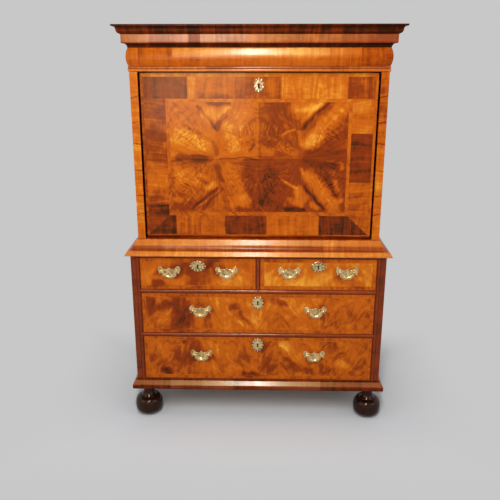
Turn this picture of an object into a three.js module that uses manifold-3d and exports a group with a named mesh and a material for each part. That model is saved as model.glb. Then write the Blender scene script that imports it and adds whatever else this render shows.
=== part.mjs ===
// Walnut escritoire: a fall-front writing cabinet standing on a chest of drawers with bun feet.
// Millimetres. X runs to the right, Y to the back and Z up. The origin is on the floor, in the
// middle of the plan. Inside the file, depth is measured from the front plane of the upper case.

import * as THREE from 'three';
import { mergeVertices } from 'three/addons/utils/BufferGeometryUtils.js';
import Module from 'manifold-3d';

const wasm = await Module();
wasm.setup();

// Overall sizes
const upperWidth = 980;
const upperDepth = 444;
const upperHeight = 866;
const baseProjection = 30.5;
const baseHeight = 617;
const footHeight = 140;

// Fits
const seat = 0.3;
const runningGap = 1.2;
const overrun = 4;

// Cornice, cushion frieze and astragal
const cornice = { height: 79.5, out: 48.6, planted: 12, boardThickness: 20 };
const corniceShares = [
  [0.02, 0], [0.05, 0.17, 0.3, 0.19], [0.4, 0.19], [0.42, 0.25], [0.42, 0.575], [0.49, 0.6],
  [0.69, 0.64, 0.7, 0.77], [0.72, 0.91, 0.92, 0.925], [1, 0.925], [1, 1],
];
const cushion = { height: 66.5, out: 8 };
const cushionShares = [[0.06, 0], [1, 0.25, 1, 0.5], [1, 0.75, 0.06, 1]];
const astragal = { height: 19.5, out: 4 };
const astragalShares = [
  [0.15, 0], [1.05, 0.02, 1, 0.25], [0.95, 0.48, 0.3, 0.5], [0.8, 0.6, 0.75, 0.75], [0.7, 0.95, 0.12, 1],
];

// Waist moulding, lapped over the joint between the two cases
const waist = { rise: 46, drop: 15, lip: 19.5 };
const waistShares = [
  [0.93, 0], [1, 0.03, 1, 0.15], [0.98, 0.3, 0.8, 0.31], [0.62, 0.31], [0.6, 0.345],
  [0.38, 0.37, 0.37, 0.59], [0.31, 0.6], [0.31, 0.67], [0.13, 0.72, 0.1, 0.88], [0.09, 1, 0.02, 1],
];

// Plinth moulding
const plinth = { height: 43, lip: 18.8 };
const plinthShares = [
  [0.84, 0], [1, 0.02, 1, 0.28], [1, 0.54, 0.8, 0.58], [0.62, 0.58], [0.34, 0.62, 0.28, 0.93], [0.28, 1],
];

// Upper case
const upperBoard = { thickness: 22, backThickness: 8 };
const stile = { width: 30.6, depth: 45 };
const frontRailDepth = 60;

// Base case
const baseBoard = { thickness: 20, topThickness: 24, backThickness: 8 };
const baseStile = { width: 34.5, depth: 25 };
const bead = { width: 12, out: 4 };
const rail = { thickness: 13 };
const divider = { width: 12 };
const guide = { height: 14 };
const footBlock = { thickness: 19, size: 110, letIn: 1 };
const drawerShares = { lower: 0.3855, middle: 0.3483 };

// Bun feet
const foot = { radius: 59.5, inset: 57, spigotRadius: 15, spigotLength: 15, boreClearance: 1 };
const footShares = [
  [0, 0], [0.34, 0], [0.96, 0.05, 0.99, 0.24], [1.04, 0.62, 0.56, 0.585], [0.56, 0.62],
  [0.4, 0.68, 0.37, 0.8], [0.37, 1],
];

// Fall front, its pivots and its quadrant stays
const fall = { thickness: 26, recess: 16, sideGap: 5.5, topGap: 4.5, bottomGap: 0.5 };
const pivot = { radius: 4, length: 12, clearance: 0.7, endGap: 1 };
const stay = {
  radius: 230, width: 12, thickness: 3, inset: 2, lugLength: 8, lugReach: 11, footLength: 60, footWidth: 9,
};

// Nest of pigeonholes and small drawers
const nest = { sideGap: 2.5, setBack: 73, wall: 8, backWall: 6, drawerHeight: 88, shelfHeight: 166 };
const pigeonholesPerSide = 3;
const smallDrawer = { gap: 0.6, frontThickness: 12, wall: 6, bottomThickness: 5, headroom: 4, depth: 285 };
const knob = { radius: 8, length: 15 };
const knobShares = [[0, 0], [0.5, 0], [0.5, 0.4], [1, 0.5, 1, 0.7], [0.9, 1, 0, 1]];

// Drawers of the base and the frieze drawer
const drawer = {
  frontThickness: 22, sideThickness: 10, backThickness: 10, bottomThickness: 8, headroom: 5, backGap: 15,
};
const friezeDrawer = { sideThickness: 9, bottomThickness: 7, headroom: 8, backGap: 20 };

// Handles: plate, posts and bail
const plate = { width: 93, height: 53, thickness: 1.6, postHeight: 35 };
const plateShares = [
  [0, 0], [0.34, 0, 0.5, 0.14], [0.66, 0.26, 0.64, 0.46], [0.76, 0.46, 0.86, 0.37], [0.96, 0.4, 0.88, 0.47],
  [0.86, 0.54, 0.96, 0.6], [1.08, 0.86, 0.84, 0.99], [0.66, 1.05, 0.58, 0.88], [0.48, 0.76, 0.26, 0.77],
  [0.16, 0.78, 0.12, 0.83], [0.06, 0.88, 0, 0.88],
];
const post = { spacing: 61, radius: 4.6, length: 12.5 };
const postShares = [[0, 0], [1, 0], [1, 0.72], [0.9, 1, 0, 1]];
const bail = {
  drop: 31, standoff: 8, endRadius: 2.4, middleRadius: 5.2, middleDepth: 3.4, pinRadius: 1.6, pinLength: 5,
  pinClearance: 0.6, shoulder: 0.5,
};
const handleInset = { short: 121, long: 245 };
const handleRise = { short: 14, middle: 16, lower: 19 };

// Escutcheons
const escutcheonThickness = 1.6;
const fallEscutcheon = { width: 43, height: 56, drop: 46, lobes: 10 };
const shortEscutcheon = { width: 68, height: 48, drop: 36, lobes: 12 };
const middleEscutcheon = { width: 48, height: 59, drop: 42, lobes: 12 };
const lowerEscutcheon = { width: 48, height: 59, drop: 38, lobes: 12 };
const lobeDepthShare = 0.05;

// Smoothness, in steps
const curveSteps = 4;
const plateSteps = 2;
const turnedSteps = 3;
const footSides = 20;
const postSides = 8;
const pinSides = 8;
const pivotSides = 12;
const archSteps = 8;
const beadSteps = 6;
const bailSides = 6;
const bailSteps = 12;
const stepsPerLobe = 4;
const staySteps = 16;

// Planes and levels that follow from the sizes
const upperHalf = upperWidth / 2;
const baseHalf = upperHalf + baseProjection;
const baseFront = -baseProjection;
const back = upperDepth;
const baseTop = footHeight + baseHeight;
const top = baseTop + upperHeight;
const corniceFoot = top - cornice.height;
const cushionFoot = corniceFoot - cushion.height;
const astragalFoot = cushionFoot - astragal.height;
const waistTop = baseTop + waist.rise;
const waistFoot = baseTop - waist.drop;
const plinthTop = footHeight + plinth.height;

const upperInner = upperHalf - upperBoard.thickness;
const stileInner = upperHalf - stile.width;
const upperBackFront = back - upperBoard.backThickness;
const baseInner = baseHalf - baseBoard.thickness;
const baseStileInner = baseHalf - baseStile.width;
const baseBackFront = back - baseBoard.backThickness;
const baseTopFoot = baseTop - baseBoard.topThickness;
const drawerSpace = baseTopFoot - plinthTop - 2 * rail.thickness;
const lowerRailFoot = plinthTop + drawerShares.lower * drawerSpace;
const upperRailFoot = lowerRailFoot + rail.thickness + drawerShares.middle * drawerSpace;
const upperRailTop = upperRailFoot + rail.thickness;

const fallHalf = stileInner - fall.sideGap;
const fallFoot = waistTop + fall.bottomGap;
const fallTop = astragalFoot - fall.topGap;
const fallInside = fall.recess + fall.thickness;
const axisY = fall.recess + fall.thickness / 2;
const axisZ = fallFoot + fall.thickness / 2;
const floorTop = fallFoot + fall.thickness;
const floorFront = fallInside + 2 * fall.bottomGap;
const stayOuter = fallHalf - stay.inset;
const stayInner = stayOuter - stay.thickness;
const staySlotBack = axisY + stay.radius + stay.width;
const drawerBack = baseBackFront - drawer.backGap;

// Geometry helpers

function signedVolume(position, triangles) {
  const corners = [new THREE.Vector3(), new THREE.Vector3(), new THREE.Vector3()];
  let volume = 0;
  for (const triangle of triangles) {
    triangle.forEach((vertex, i) => corners[i].fromBufferAttribute(position, vertex));
    volume += corners[0].dot(corners[1].cross(corners[2]));
  }
  return volume;
}

function toSolid(geometry) {
  geometry.deleteAttribute('normal');
  geometry.deleteAttribute('uv');
  const merged = mergeVertices(geometry);
  const index = merged.index.array;
  const triangles = [];
  for (let i = 0; i < index.length; i += 3) {
    const [a, b, c] = index.slice(i, i + 3);
    if (a !== b && b !== c && c !== a) triangles.push([a, b, c]);
  }
  const position = merged.attributes.position;
  if (signedVolume(position, triangles) < 0) triangles.forEach((triangle) => triangle.reverse());
  const mesh = new wasm.Mesh({
    numProp: 3,
    vertProperties: new Float32Array(position.array),
    triVerts: new Uint32Array(triangles.flat()),
  });
  return new wasm.Manifold(mesh);
}

function toGeometry(solid) {
  const { vertProperties, triVerts } = solid.getMesh();
  const geometry = new THREE.BufferGeometry();
  geometry.setAttribute('position', new THREE.BufferAttribute(vertProperties, 3));
  geometry.setIndex(new THREE.BufferAttribute(triVerts, 1));
  geometry.computeVertexNormals();
  return geometry;
}

const join = (solids) => solids.reduce((whole, solid) => whole.add(solid));
const cut = (solid, tools) => tools.reduce((whole, tool) => whole.subtract(tool), solid);

// A block between two places on each axis
function block(x, y, z) {
  const size = [x, y, z].map(([from, to]) => Math.abs(to - from));
  const middle = [x, y, z].map(([from, to]) => (from + to) / 2);
  const geometry = new THREE.BoxGeometry(...size);
  geometry.translate(...middle);
  return toSolid(geometry);
}

// A flat outline carried through numbered stations, each placed by its own rule
function sweep(points, steps, place) {
  const shape = new THREE.Shape(points);
  const geometry = new THREE.ExtrudeGeometry(shape, { depth: steps, steps, bevelEnabled: false });
  const position = geometry.attributes.position;
  for (let i = 0; i < position.count; i += 1) {
    const station = Math.round(position.getZ(i));
    position.setXYZ(i, ...place(position.getX(i), position.getY(i), station));
  }
  return toSolid(geometry);
}

const alongX = (points, span) => sweep(points, 1, (y, z, end) => [span[end], y, z]);
const alongY = (points, span) => sweep(points, 1, (x, z, end) => [x, span[end], z]);
const alongZ = (points, span) => sweep(points, 1, (x, y, end) => [x, y, span[end]]);
const points2d = (pairs) => pairs.map(([u, v]) => new THREE.Vector2(u, v));

// Outline rows are a start point, line ends, and curve ends with their control point before them
function outline(rows, width, height, foot, steps = curveSteps) {
  const path = new THREE.Path();
  rows.forEach((row, number) => {
    const sizes = row.map((share, i) => (i % 2 === 0 ? share * width : foot + share * height));
    if (number === 0) path.moveTo(...sizes);
    else if (sizes.length === 2) path.lineTo(...sizes);
    else path.quadraticCurveTo(...sizes);
  });
  return path.getPoints(steps);
}

// A moulding mitred round the left side, the front and the right side of a case
function moulding(points, half, front) {
  const rear = () => back;
  const ahead = (out) => front - out;
  const corners = [[-1, rear], [-1, ahead], [1, ahead], [1, rear]];
  return sweep(points, corners.length - 1, (out, z, station) => {
    const [side, depth] = corners[station];
    return [side * (half + out), depth(out), z];
  });
}

function halfRound(width, out, steps) {
  const rim = [];
  for (let i = 0; i <= steps; i += 1) {
    const angle = (Math.PI * i) / steps;
    rim.push(new THREE.Vector2((-Math.cos(angle) * width) / 2, -Math.sin(angle) * out));
  }
  return rim;
}

// A bead planted on a front face: its flat back sinks by the overrun into what carries it
function uprightBead(x, front, z) {
  const rim = halfRound(bead.width, bead.out, beadSteps);
  const section = [
    new THREE.Vector2(-bead.width / 2, overrun), ...rim, new THREE.Vector2(bead.width / 2, overrun),
  ];
  return sweep(section, 1, (u, v, end) => [x + u, front + v, z[end]]);
}

function levelBead(x, front, middleZ, width) {
  const rim = halfRound(width, bead.out, beadSteps);
  const section = [new THREE.Vector2(-width / 2, overrun), ...rim, new THREE.Vector2(width / 2, overrun)];
  return sweep(section, 1, (u, v, end) => [x[end], front + v, middleZ + u]);
}

function turned(points, sides) {
  const geometry = new THREE.LatheGeometry(points, sides);
  geometry.rotateX(Math.PI / 2);
  return geometry;
}

function rod(radius, length, sides) {
  return turned(points2d([[0, 0], [radius, 0], [radius, length], [0, length]]), sides);
}

function rodAlongX(radius, x, y, z, sides) {
  const geometry = rod(radius, Math.abs(x[1] - x[0]), sides);
  geometry.rotateY(Math.PI / 2);
  geometry.translate(Math.min(...x), y, z);
  return toSolid(geometry);
}

// Base case

function baseSide(side) {
  const x = (value) => side * value;
  const plan = points2d([
    [x(baseHalf), baseFront], [x(baseHalf), back], [x(baseInner), back],
    [x(baseInner), baseFront + baseStile.depth], [x(baseStileInner), baseFront + baseStile.depth],
    [x(baseStileInner), baseFront],
  ]);
  const foot = footHeight + footBlock.thickness + seat;
  const board = alongZ(plan, [foot, baseTopFoot - seat]);
  const span = [plinthTop + seat, waistFoot - seat].map((z) => Math.min(z, baseTopFoot - seat));
  return join([board, uprightBead(x(baseStileInner + bead.width / 2), baseFront, span)]);
}

const baseTopBoard = () => block([-baseHalf, baseHalf], [baseFront, back], [baseTopFoot, baseTop]);

function footPlaces() {
  const x = baseHalf + plinth.lip - foot.inset;
  const front = baseFront - plinth.lip + foot.inset;
  const rear = back - foot.radius;
  return [[-x, front], [x, front], [-x, rear], [x, rear]];
}

function spigotBore([x, y]) {
  const radius = foot.spigotRadius + foot.boreClearance;
  const bore = rod(radius, foot.spigotLength + foot.boreClearance + overrun, pivotSides);
  bore.translate(x, y, footHeight - overrun);
  return toSolid(bore);
}

function guideStrips(boardTop) {
  const y = [baseFront + baseStile.depth + seat, drawerBack];
  const strip = (side) => block(
    [side * baseStileInner, side * (baseInner - seat)], y, [boardTop - overrun, boardTop + guide.height],
  );
  return [strip(-1), strip(1)];
}

// Plan of a board between the base sides, notched round their stiles
function shelfPlan() {
  const between = baseStileInner - seat;
  const inner = baseInner - seat;
  const behind = baseFront + baseStile.depth + seat;
  const rear = baseBackFront - seat;
  return points2d([
    [-between, baseFront], [between, baseFront], [between, behind], [inner, behind],
    [inner, rear], [-inner, rear], [-inner, behind], [-between, behind],
  ]);
}

function cornerBlock([x, y]) {
  const side = Math.sign(x);
  const outer = baseHalf - seat;
  const depth = y < upperDepth / 2
    ? [baseFront, baseFront + footBlock.size] : [back - footBlock.size, back];
  const height = [footHeight, footHeight + footBlock.thickness];
  return block([side * (outer - footBlock.size), side * outer], depth, height);
}

function baseBottomBoard() {
  const board = alongZ(shelfPlan(), [footHeight + footBlock.thickness - footBlock.letIn, plinthTop]);
  const blocks = footPlaces().map(cornerBlock);
  return cut(join([board, ...blocks, ...guideStrips(plinthTop)]), footPlaces().map(spigotBore));
}

const baseBack = () => block(
  [-(baseInner - seat), baseInner - seat], [baseBackFront, back],
  [footHeight + footBlock.thickness + seat, baseTopFoot - seat],
);

function dustBoard(foot) {
  const between = baseStileInner - seat;
  return join([
    alongZ(shelfPlan(), [foot, foot + rail.thickness]),
    levelBead([-between, between], baseFront, foot + rail.thickness / 2, rail.thickness),
    ...guideStrips(foot + rail.thickness),
  ]);
}

function dividedDustBoard() {
  const half = divider.width / 2;
  const board = dustBoard(upperRailFoot);
  const upright = block([-half, half], [baseFront, drawerBack], [upperRailTop - overrun, baseTopFoot - seat]);
  return join([board, upright, uprightBead(0, baseFront, [upperRailTop - overrun, baseTopFoot - seat])]);
}

function waistMoulding() {
  const rows = outline(waistShares, baseProjection + waist.lip, waist.rise + waist.drop, waistFoot);
  const lap = baseProjection + seat;
  const inner = points2d([[seat, waistTop], [seat, baseTop + seat], [lap, baseTop + seat], [lap, waistFoot]]);
  return moulding([...rows, ...inner], upperHalf, 0);
}

function plinthMoulding() {
  const rows = outline(plinthShares, plinth.lip, plinth.height, footHeight);
  const inner = points2d([[seat, plinthTop], [seat, footHeight]]);
  return moulding([...rows, ...inner], baseHalf, baseFront);
}

function bunFoot([x, y]) {
  const body = outline(footShares, foot.radius, footHeight - seat, 0, turnedSteps);
  const spigotTop = footHeight - seat + foot.spigotLength;
  const spigot = points2d([
    [foot.spigotRadius, footHeight - seat], [foot.spigotRadius, spigotTop], [0, spigotTop],
  ]);
  const geometry = turned([...body, ...spigot], footSides);
  geometry.translate(x, y, 0);
  return toSolid(geometry);
}

// Upper case

function upperSide(side) {
  const x = (value) => side * value;
  const plan = points2d([
    [x(upperHalf), 0], [x(upperHalf), back], [x(upperInner), back], [x(upperInner), stile.depth],
    [x(stileInner), stile.depth], [x(stileInner), 0],
  ]);
  const lower = alongZ(plan, [baseTop + seat, astragalFoot - seat]);
  const upper = block(
    [x(upperInner), x(upperHalf - cornice.planted - seat)], [cornice.planted + seat, back],
    [astragalFoot - overrun, top - cornice.boardThickness - seat],
  );
  const reach = stileInner + pivot.length + pivot.endGap;
  const bore = rodAlongX(
    pivot.radius + pivot.clearance, [x(stileInner - overrun), x(reach)], axisY, axisZ, pivotSides,
  );
  return cut(join([lower, upper]), [bore]);
}

function corniceTop() {
  const rows = outline(corniceShares, cornice.out, cornice.height, corniceFoot);
  const inner = points2d([[-cornice.planted, top], [-cornice.planted, corniceFoot]]);
  const ring = moulding([...rows, ...inner], upperHalf, 0);
  const half = upperHalf - cornice.planted + overrun;
  const board = block(
    [-half, half], [cornice.planted - overrun, back], [top - cornice.boardThickness, top],
  );
  return join([ring, board]);
}

function upperFloor() {
  const inner = upperInner - seat;
  const notch = stayInner - nest.sideGap / 2;
  const plan = points2d([
    [-notch, floorFront], [notch, floorFront], [notch, staySlotBack], [inner, staySlotBack],
    [inner, upperBackFront - seat], [-inner, upperBackFront - seat], [-inner, staySlotBack],
    [-notch, staySlotBack],
  ]);
  const board = alongZ(plan, [waistTop, floorTop]);
  const railHalf = stileInner - seat;
  const frontRail = block([-railHalf, railHalf], [seat, frontRailDepth], [baseTop + seat, waistTop]);
  const cleat = block([-notch, notch], [floorFront, frontRailDepth], [waistTop - overrun, floorTop]);
  return join([board, frontRail, cleat]);
}

const upperBack = () => block(
  [-(upperInner - seat), upperInner - seat], [upperBackFront, back],
  [baseTop + seat, top - cornice.boardThickness - seat],
);

const friezeBoard = () => block(
  [-(upperInner - seat), upperInner - seat], [cornice.planted + seat, upperBackFront - seat],
  [astragalFoot, cushionFoot],
);

// Plan of the space that the frieze drawer's front takes between its two mitres
function friezeWedge(gap) {
  const behind = cornice.planted + overrun;
  const ahead = cushion.out + overrun;
  const narrow = upperHalf - behind - gap;
  const wide = upperHalf + ahead - gap;
  return points2d([[-narrow, behind], [narrow, behind], [wide, -ahead], [-wide, -ahead]]);
}

function cushionProfile(foot, head) {
  const rows = outline(cushionShares, cushion.out, head - foot, foot);
  return [...rows, ...points2d([[-cornice.planted, head], [-cornice.planted, foot]])];
}

function friezeSurround() {
  const beads = outline(astragalShares, astragal.out, astragal.height - seat, astragalFoot);
  const inner = points2d([[-cornice.planted, cushionFoot - seat], [-cornice.planted, astragalFoot]]);
  const lower = moulding([...beads, ...inner], upperHalf, 0);
  const ring = moulding(cushionProfile(cushionFoot - overrun / 2, corniceFoot - seat), upperHalf, 0);
  const sides = cut(ring, [alongZ(friezeWedge(0), [cushionFoot - overrun, corniceFoot + overrun])]);
  return join([lower, sides]);
}

function friezeDrawerFront() {
  const half = upperHalf + cushion.out + overrun;
  const front = sweep(
    cushionProfile(cushionFoot + seat, corniceFoot - seat), 1,
    (out, z, end) => [end === 0 ? -half : half, -out, z],
  );
  const wedge = alongZ(friezeWedge(runningGap / 2), [cushionFoot - overrun, corniceFoot + overrun]);
  return front.intersect(wedge);
}

// An open drawer box: a tray with its walls' thicknesses given
function tray(x, y, z, walls) {
  const hollow = block(
    [x[0] + walls.side, x[1] - walls.side], [y[0] + walls.front, y[1] - walls.back],
    [z[0] + walls.bottom, z[1] + overrun],
  );
  return cut(block(x, y, z), [hollow]);
}

function friezeDrawerBox() {
  const half = upperInner - runningGap;
  const side = friezeDrawer.sideThickness;
  return tray(
    [-half, half], [cornice.planted + seat, upperBackFront - friezeDrawer.backGap],
    [cushionFoot + seat, corniceFoot - friezeDrawer.headroom],
    { side, front: side, back: side, bottom: friezeDrawer.bottomThickness },
  );
}

// Nest of pigeonholes: three columns, with small drawers at the foot and an arched niche between them

const nestHalf = stayInner - nest.sideGap;
const nestFront = fallInside + nest.setBack;
const nestFoot = floorTop + seat;
const nestTop = astragalFoot - seat;
const nestBack = upperBackFront - seat;
const columnWidth = (2 * nestHalf - 4 * nest.wall) / 3;
const firstRowFoot = nestFoot + nest.wall;
const secondRowFoot = firstRowFoot + nest.drawerHeight + nest.wall;
const pigeonholeFoot = secondRowFoot + nest.drawerHeight + nest.wall;
const shelfFoot = nestTop - nest.wall - nest.shelfHeight;
const pigeonholeTop = shelfFoot - nest.wall;
const columnLeft = (column) => -nestHalf + nest.wall + column * (columnWidth + nest.wall);

// The small drawers: column and row of each, by name
const smallDrawerPlaces = {
  small_drawer_lower_left: [0, 0],
  small_drawer_lower_centre: [1, 0],
  small_drawer_lower_right: [2, 0],
  small_drawer_upper_left: [0, 1],
  small_drawer_upper_right: [2, 1],
};

function compartment(x, z) {
  return block(x, [nestFront - overrun, nestBack - nest.backWall], z);
}

// A compartment whose top is a half-round arch
function archedCompartment(x, z) {
  const radius = (x[1] - x[0]) / 2;
  const centre = (x[0] + x[1]) / 2;
  const spring = z[1] - radius;
  const rim = [new THREE.Vector2(x[0], z[0]), new THREE.Vector2(x[1], z[0])];
  for (let i = 0; i <= archSteps; i += 1) {
    const angle = (Math.PI * i) / archSteps;
    rim.push(new THREE.Vector2(centre + radius * Math.cos(angle), spring + radius * Math.sin(angle)));
  }
  return alongY(rim, [nestFront - overrun, nestBack - nest.backWall]);
}

function pigeonholes(column) {
  const width = (columnWidth - (pigeonholesPerSide - 1) * nest.wall) / pigeonholesPerSide;
  const holes = [];
  for (let i = 0; i < pigeonholesPerSide; i += 1) {
    const left = columnLeft(column) + i * (width + nest.wall);
    holes.push(archedCompartment([left, left + width], [pigeonholeFoot, pigeonholeTop]));
  }
  return holes;
}

function pigeonholeNest() {
  const body = block([-nestHalf, nestHalf], [nestFront, nestBack], [nestFoot, nestTop]);
  const span = (column) => [columnLeft(column), columnLeft(column) + columnWidth];
  const rowFoot = [firstRowFoot, secondRowFoot];
  const bays = Object.values(smallDrawerPlaces).map(
    ([column, row]) => compartment(span(column), [rowFoot[row], rowFoot[row] + nest.drawerHeight]),
  );
  const niche = archedCompartment(span(1), [secondRowFoot, pigeonholeTop]);
  const shelves = [0, 1, 2].map((column) => compartment(span(column), [shelfFoot, nestTop - nest.wall]));
  return cut(body, [...bays, niche, ...shelves, ...pigeonholes(0), ...pigeonholes(2)]);
}

function smallDrawerSolid([column, row]) {
  const left = columnLeft(column);
  const x = [left + smallDrawer.gap, left + columnWidth - smallDrawer.gap];
  const foot = [firstRowFoot, secondRowFoot][row];
  const head = foot + nest.drawerHeight - smallDrawer.gap;
  const front = block(x, [nestFront, nestFront + smallDrawer.frontThickness], [foot + seat, head]);
  const box = tray(
    x, [nestFront, nestFront + smallDrawer.depth], [foot + seat, head - smallDrawer.headroom],
    {
      side: smallDrawer.wall, front: smallDrawer.frontThickness, back: smallDrawer.wall,
      bottom: smallDrawer.bottomThickness,
    },
  );
  return join([front, box, knobSolid((x[0] + x[1]) / 2, (foot + head) / 2)]);
}

function knobSolid(x, z) {
  const length = knob.length + overrun;
  const geometry = turned(outline(knobShares, knob.radius, length, 0, turnedSteps), postSides);
  geometry.rotateX(Math.PI / 2);
  geometry.translate(x, nestFront + overrun, z);
  return toSolid(geometry);
}

// Fall front: its foot is rounded about the pivot line, so that it turns in place

function fallPanel() {
  const radius = fall.thickness / 2;
  const rim = [];
  for (let i = 0; i <= archSteps; i += 1) {
    const angle = (Math.PI * i) / archSteps;
    rim.push(new THREE.Vector2(axisY - radius * Math.cos(angle), axisZ - radius * Math.sin(angle)));
  }
  const section = [...rim, ...points2d([[fallInside, fallTop], [fall.recess, fallTop]])];
  const panel = alongX(section, [-fallHalf, fallHalf]);
  const tip = stileInner + pivot.length;
  const pins = [-1, 1].map((side) => rodAlongX(
    pivot.radius, [side * (fallHalf - overrun), side * tip], axisY, axisZ, pivotSides,
  ));
  return join([panel, ...pins]);
}

// Quadrant stay: an arc about the pivot line, screwed to the inside of the fall, whose tail lug
// comes up against the back of the stile when the fall lies level
function quadrantStay(side) {
  const x = [side * stayInner, side * stayOuter];
  const start = Math.asin((fall.thickness / 2 + seat) / stay.radius);
  const lugBehind = stile.depth + runningGap + stay.lugLength / 2 - axisY;
  const end = Math.PI / 2 + Math.asin(lugBehind / stay.radius);
  const inner = stay.radius - stay.width / 2;
  const outer = stay.radius + stay.width / 2;
  const at = (radius, angle) => new THREE.Vector2(
    axisY + radius * Math.sin(angle), axisZ + radius * Math.cos(angle),
  );
  const rim = [];
  for (let i = 0; i <= staySteps; i += 1) {
    rim.push(at(outer, start + ((end - start) * i) / staySteps));
  }
  for (let i = staySteps; i >= 0; i -= 1) {
    rim.push(at(inner, start + ((end - start) * i) / staySteps));
  }
  const behindFall = fallInside + seat;
  const arc = cut(alongX(rim, x), [block(
    [x[0] - overrun, x[1] + overrun], [fall.recess, behindFall], [axisZ, axisZ + outer + overrun],
  )]);
  const footMiddle = axisZ + Math.sqrt(stay.radius ** 2 - (fall.thickness / 2) ** 2);
  const footPlate = block(
    [side * stayOuter, side * (stayOuter - stay.footWidth)], [behindFall, behindFall + stay.thickness],
    [footMiddle - stay.footLength / 2, footMiddle + stay.footLength / 2],
  );
  const lugPlan = [
    at(inner, end - stay.lugLength / 2 / stay.radius), at(outer, end - stay.lugLength / 2 / stay.radius),
    at(outer, end + stay.lugLength / 2 / stay.radius), at(inner, end + stay.lugLength / 2 / stay.radius),
  ];
  const lug = alongX(lugPlan, [side * stayInner, side * (stayOuter + stay.lugReach)]);
  return join([arc, footPlate, lug]);
}

// Drawers of the base

const shortFoot = upperRailTop;
const middleFoot = lowerRailFoot + rail.thickness;
const drawerPlaces = {
  short_drawer_left: {
    x: [-(baseStileInner - runningGap), -(divider.width / 2 + runningGap)], z: [shortFoot, baseTopFoot],
    inset: handleInset.short, handleRise: handleRise.short, escutcheon: shortEscutcheon,
  },
  short_drawer_right: {
    x: [divider.width / 2 + runningGap, baseStileInner - runningGap], z: [shortFoot, baseTopFoot],
    inset: handleInset.short, handleRise: handleRise.short, escutcheon: shortEscutcheon,
  },
  middle_drawer: {
    x: [-(baseStileInner - runningGap), baseStileInner - runningGap], z: [middleFoot, upperRailFoot],
    inset: handleInset.long, handleRise: handleRise.middle, escutcheon: middleEscutcheon,
  },
  lower_drawer: {
    x: [-(baseStileInner - runningGap), baseStileInner - runningGap], z: [plinthTop, lowerRailFoot],
    inset: handleInset.long, handleRise: handleRise.lower, escutcheon: lowerEscutcheon,
  },
};

const drawerFront = ({ x, z }) => block(
  x, [baseFront, baseFront + drawer.frontThickness], [z[0] + seat, z[1] - runningGap],
);

function drawerBox({ x, z }) {
  return tray(
    x, [baseFront + drawer.frontThickness + seat, drawerBack], [z[0] + seat, z[1] - drawer.headroom],
    {
      side: drawer.sideThickness, front: drawer.sideThickness, back: drawer.backThickness,
      bottom: drawer.bottomThickness,
    },
  );
}

// Handles

const plateBack = baseFront - seat;
const plateFront = plateBack - plate.thickness;
const bailAxisY = plateFront - bail.standoff;

function handlePlate(x, z) {
  const right = outline(plateShares, plate.width / 2, plate.height, -plate.postHeight, plateSteps);
  const left = right.slice(1, -1).reverse().map((point) => new THREE.Vector2(-point.x, point.y));
  const rim = [...right, ...left].map((point) => new THREE.Vector2(x + point.x, z + point.y));
  const sheet = alongY(rim, [plateBack, plateFront]);
  const posts = [-1, 1].map((side) => {
    const rows = outline(postShares, post.radius, post.length + plate.thickness, 0, turnedSteps);
    const geometry = turned(rows, postSides);
    geometry.rotateX(Math.PI / 2);
    geometry.translate(x + (side * post.spacing) / 2, plateBack, z);
    return toSolid(geometry);
  });
  const holes = [-1, 1].map((side) => {
    const centre = (side * post.spacing) / 2;
    const mouth = centre - side * (post.radius + overrun);
    return rodAlongX(bail.pinRadius + bail.pinClearance, [x + mouth, x + centre], bailAxisY, z, pinSides);
  });
  return cut(join([sheet, ...posts]), holes);
}

// Bail: a crescent hung between the posts, leaning back until its thick middle meets the plate
function handleBail(x, z) {
  const half = post.spacing / 2 - post.radius - bail.shoulder - bail.endRadius;
  const lean = bail.standoff - bail.middleDepth - seat;
  const rim = [];
  for (let i = 0; i < bailSides; i += 1) {
    const angle = (2 * Math.PI * i) / bailSides;
    rim.push(new THREE.Vector2(Math.cos(angle), Math.sin(angle)));
  }
  const loop = sweep(rim, bailSteps, (u, v, station) => {
    const angle = (Math.PI * station) / bailSteps;
    const swell = Math.sin(angle);
    const radius = bail.endRadius + (bail.middleRadius - bail.endRadius) * swell ** 2;
    const depth = bail.endRadius + (bail.middleDepth - bail.endRadius) * swell ** 2;
    const reach = half + u * radius;
    const drop = bail.drop - bail.middleRadius + u * radius;
    return [
      x - reach * Math.cos(angle), bailAxisY + lean * swell + v * depth, z - drop * swell,
    ];
  });
  const tip = half + bail.endRadius + bail.pinLength;
  const pins = [-1, 1].map((side) => rodAlongX(
    bail.pinRadius, [x + side * half, x + side * tip], bailAxisY, z, pinSides,
  ));
  return join([loop, ...pins]);
}

// A plate with a scalloped edge
function scallopedPlate(x, z, { width, height, lobes }, back) {
  const steps = lobes * stepsPerLobe;
  const rim = [];
  for (let i = 0; i < steps; i += 1) {
    const angle = (2 * Math.PI * i) / steps;
    const swell = 1 - lobeDepthShare + lobeDepthShare * Math.cos(lobes * angle);
    rim.push(new THREE.Vector2(
      x + (width / 2) * swell * Math.sin(angle), z + (height / 2) * swell * Math.cos(angle),
    ));
  }
  return alongY(rim, [back, back - escutcheonThickness]);
}

// Materials
const finishes = {
  walnut: { color: 0xa85a20, roughness: 0.3, metalness: 0 },
  darkWalnut: { color: 0x5a2e18, roughness: 0.35, metalness: 0 },
  carcase: { color: 0xa07848, roughness: 0.7, metalness: 0 },
  black: { color: 0x20120c, roughness: 0.3, metalness: 0 },
  brass: { color: 0xc9a860, roughness: 0.3, metalness: 1 },
};
const materials = Object.fromEntries(
  Object.entries(finishes).map(([name, values]) => [name, new THREE.MeshStandardMaterial(values)]),
);

// The piece of furniture

const escritoire = new THREE.Group();
const footReach = baseFront - plinth.lip + foot.inset - foot.radius;
const frontReach = Math.min(-(baseProjection + waist.lip), footReach);
escritoire.position.y = -(frontReach + back) / 2;

function place(name, solid, finish) {
  const mesh = new THREE.Mesh(toGeometry(solid), materials[finish]);
  mesh.name = name;
  escritoire.add(mesh);
}

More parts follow.
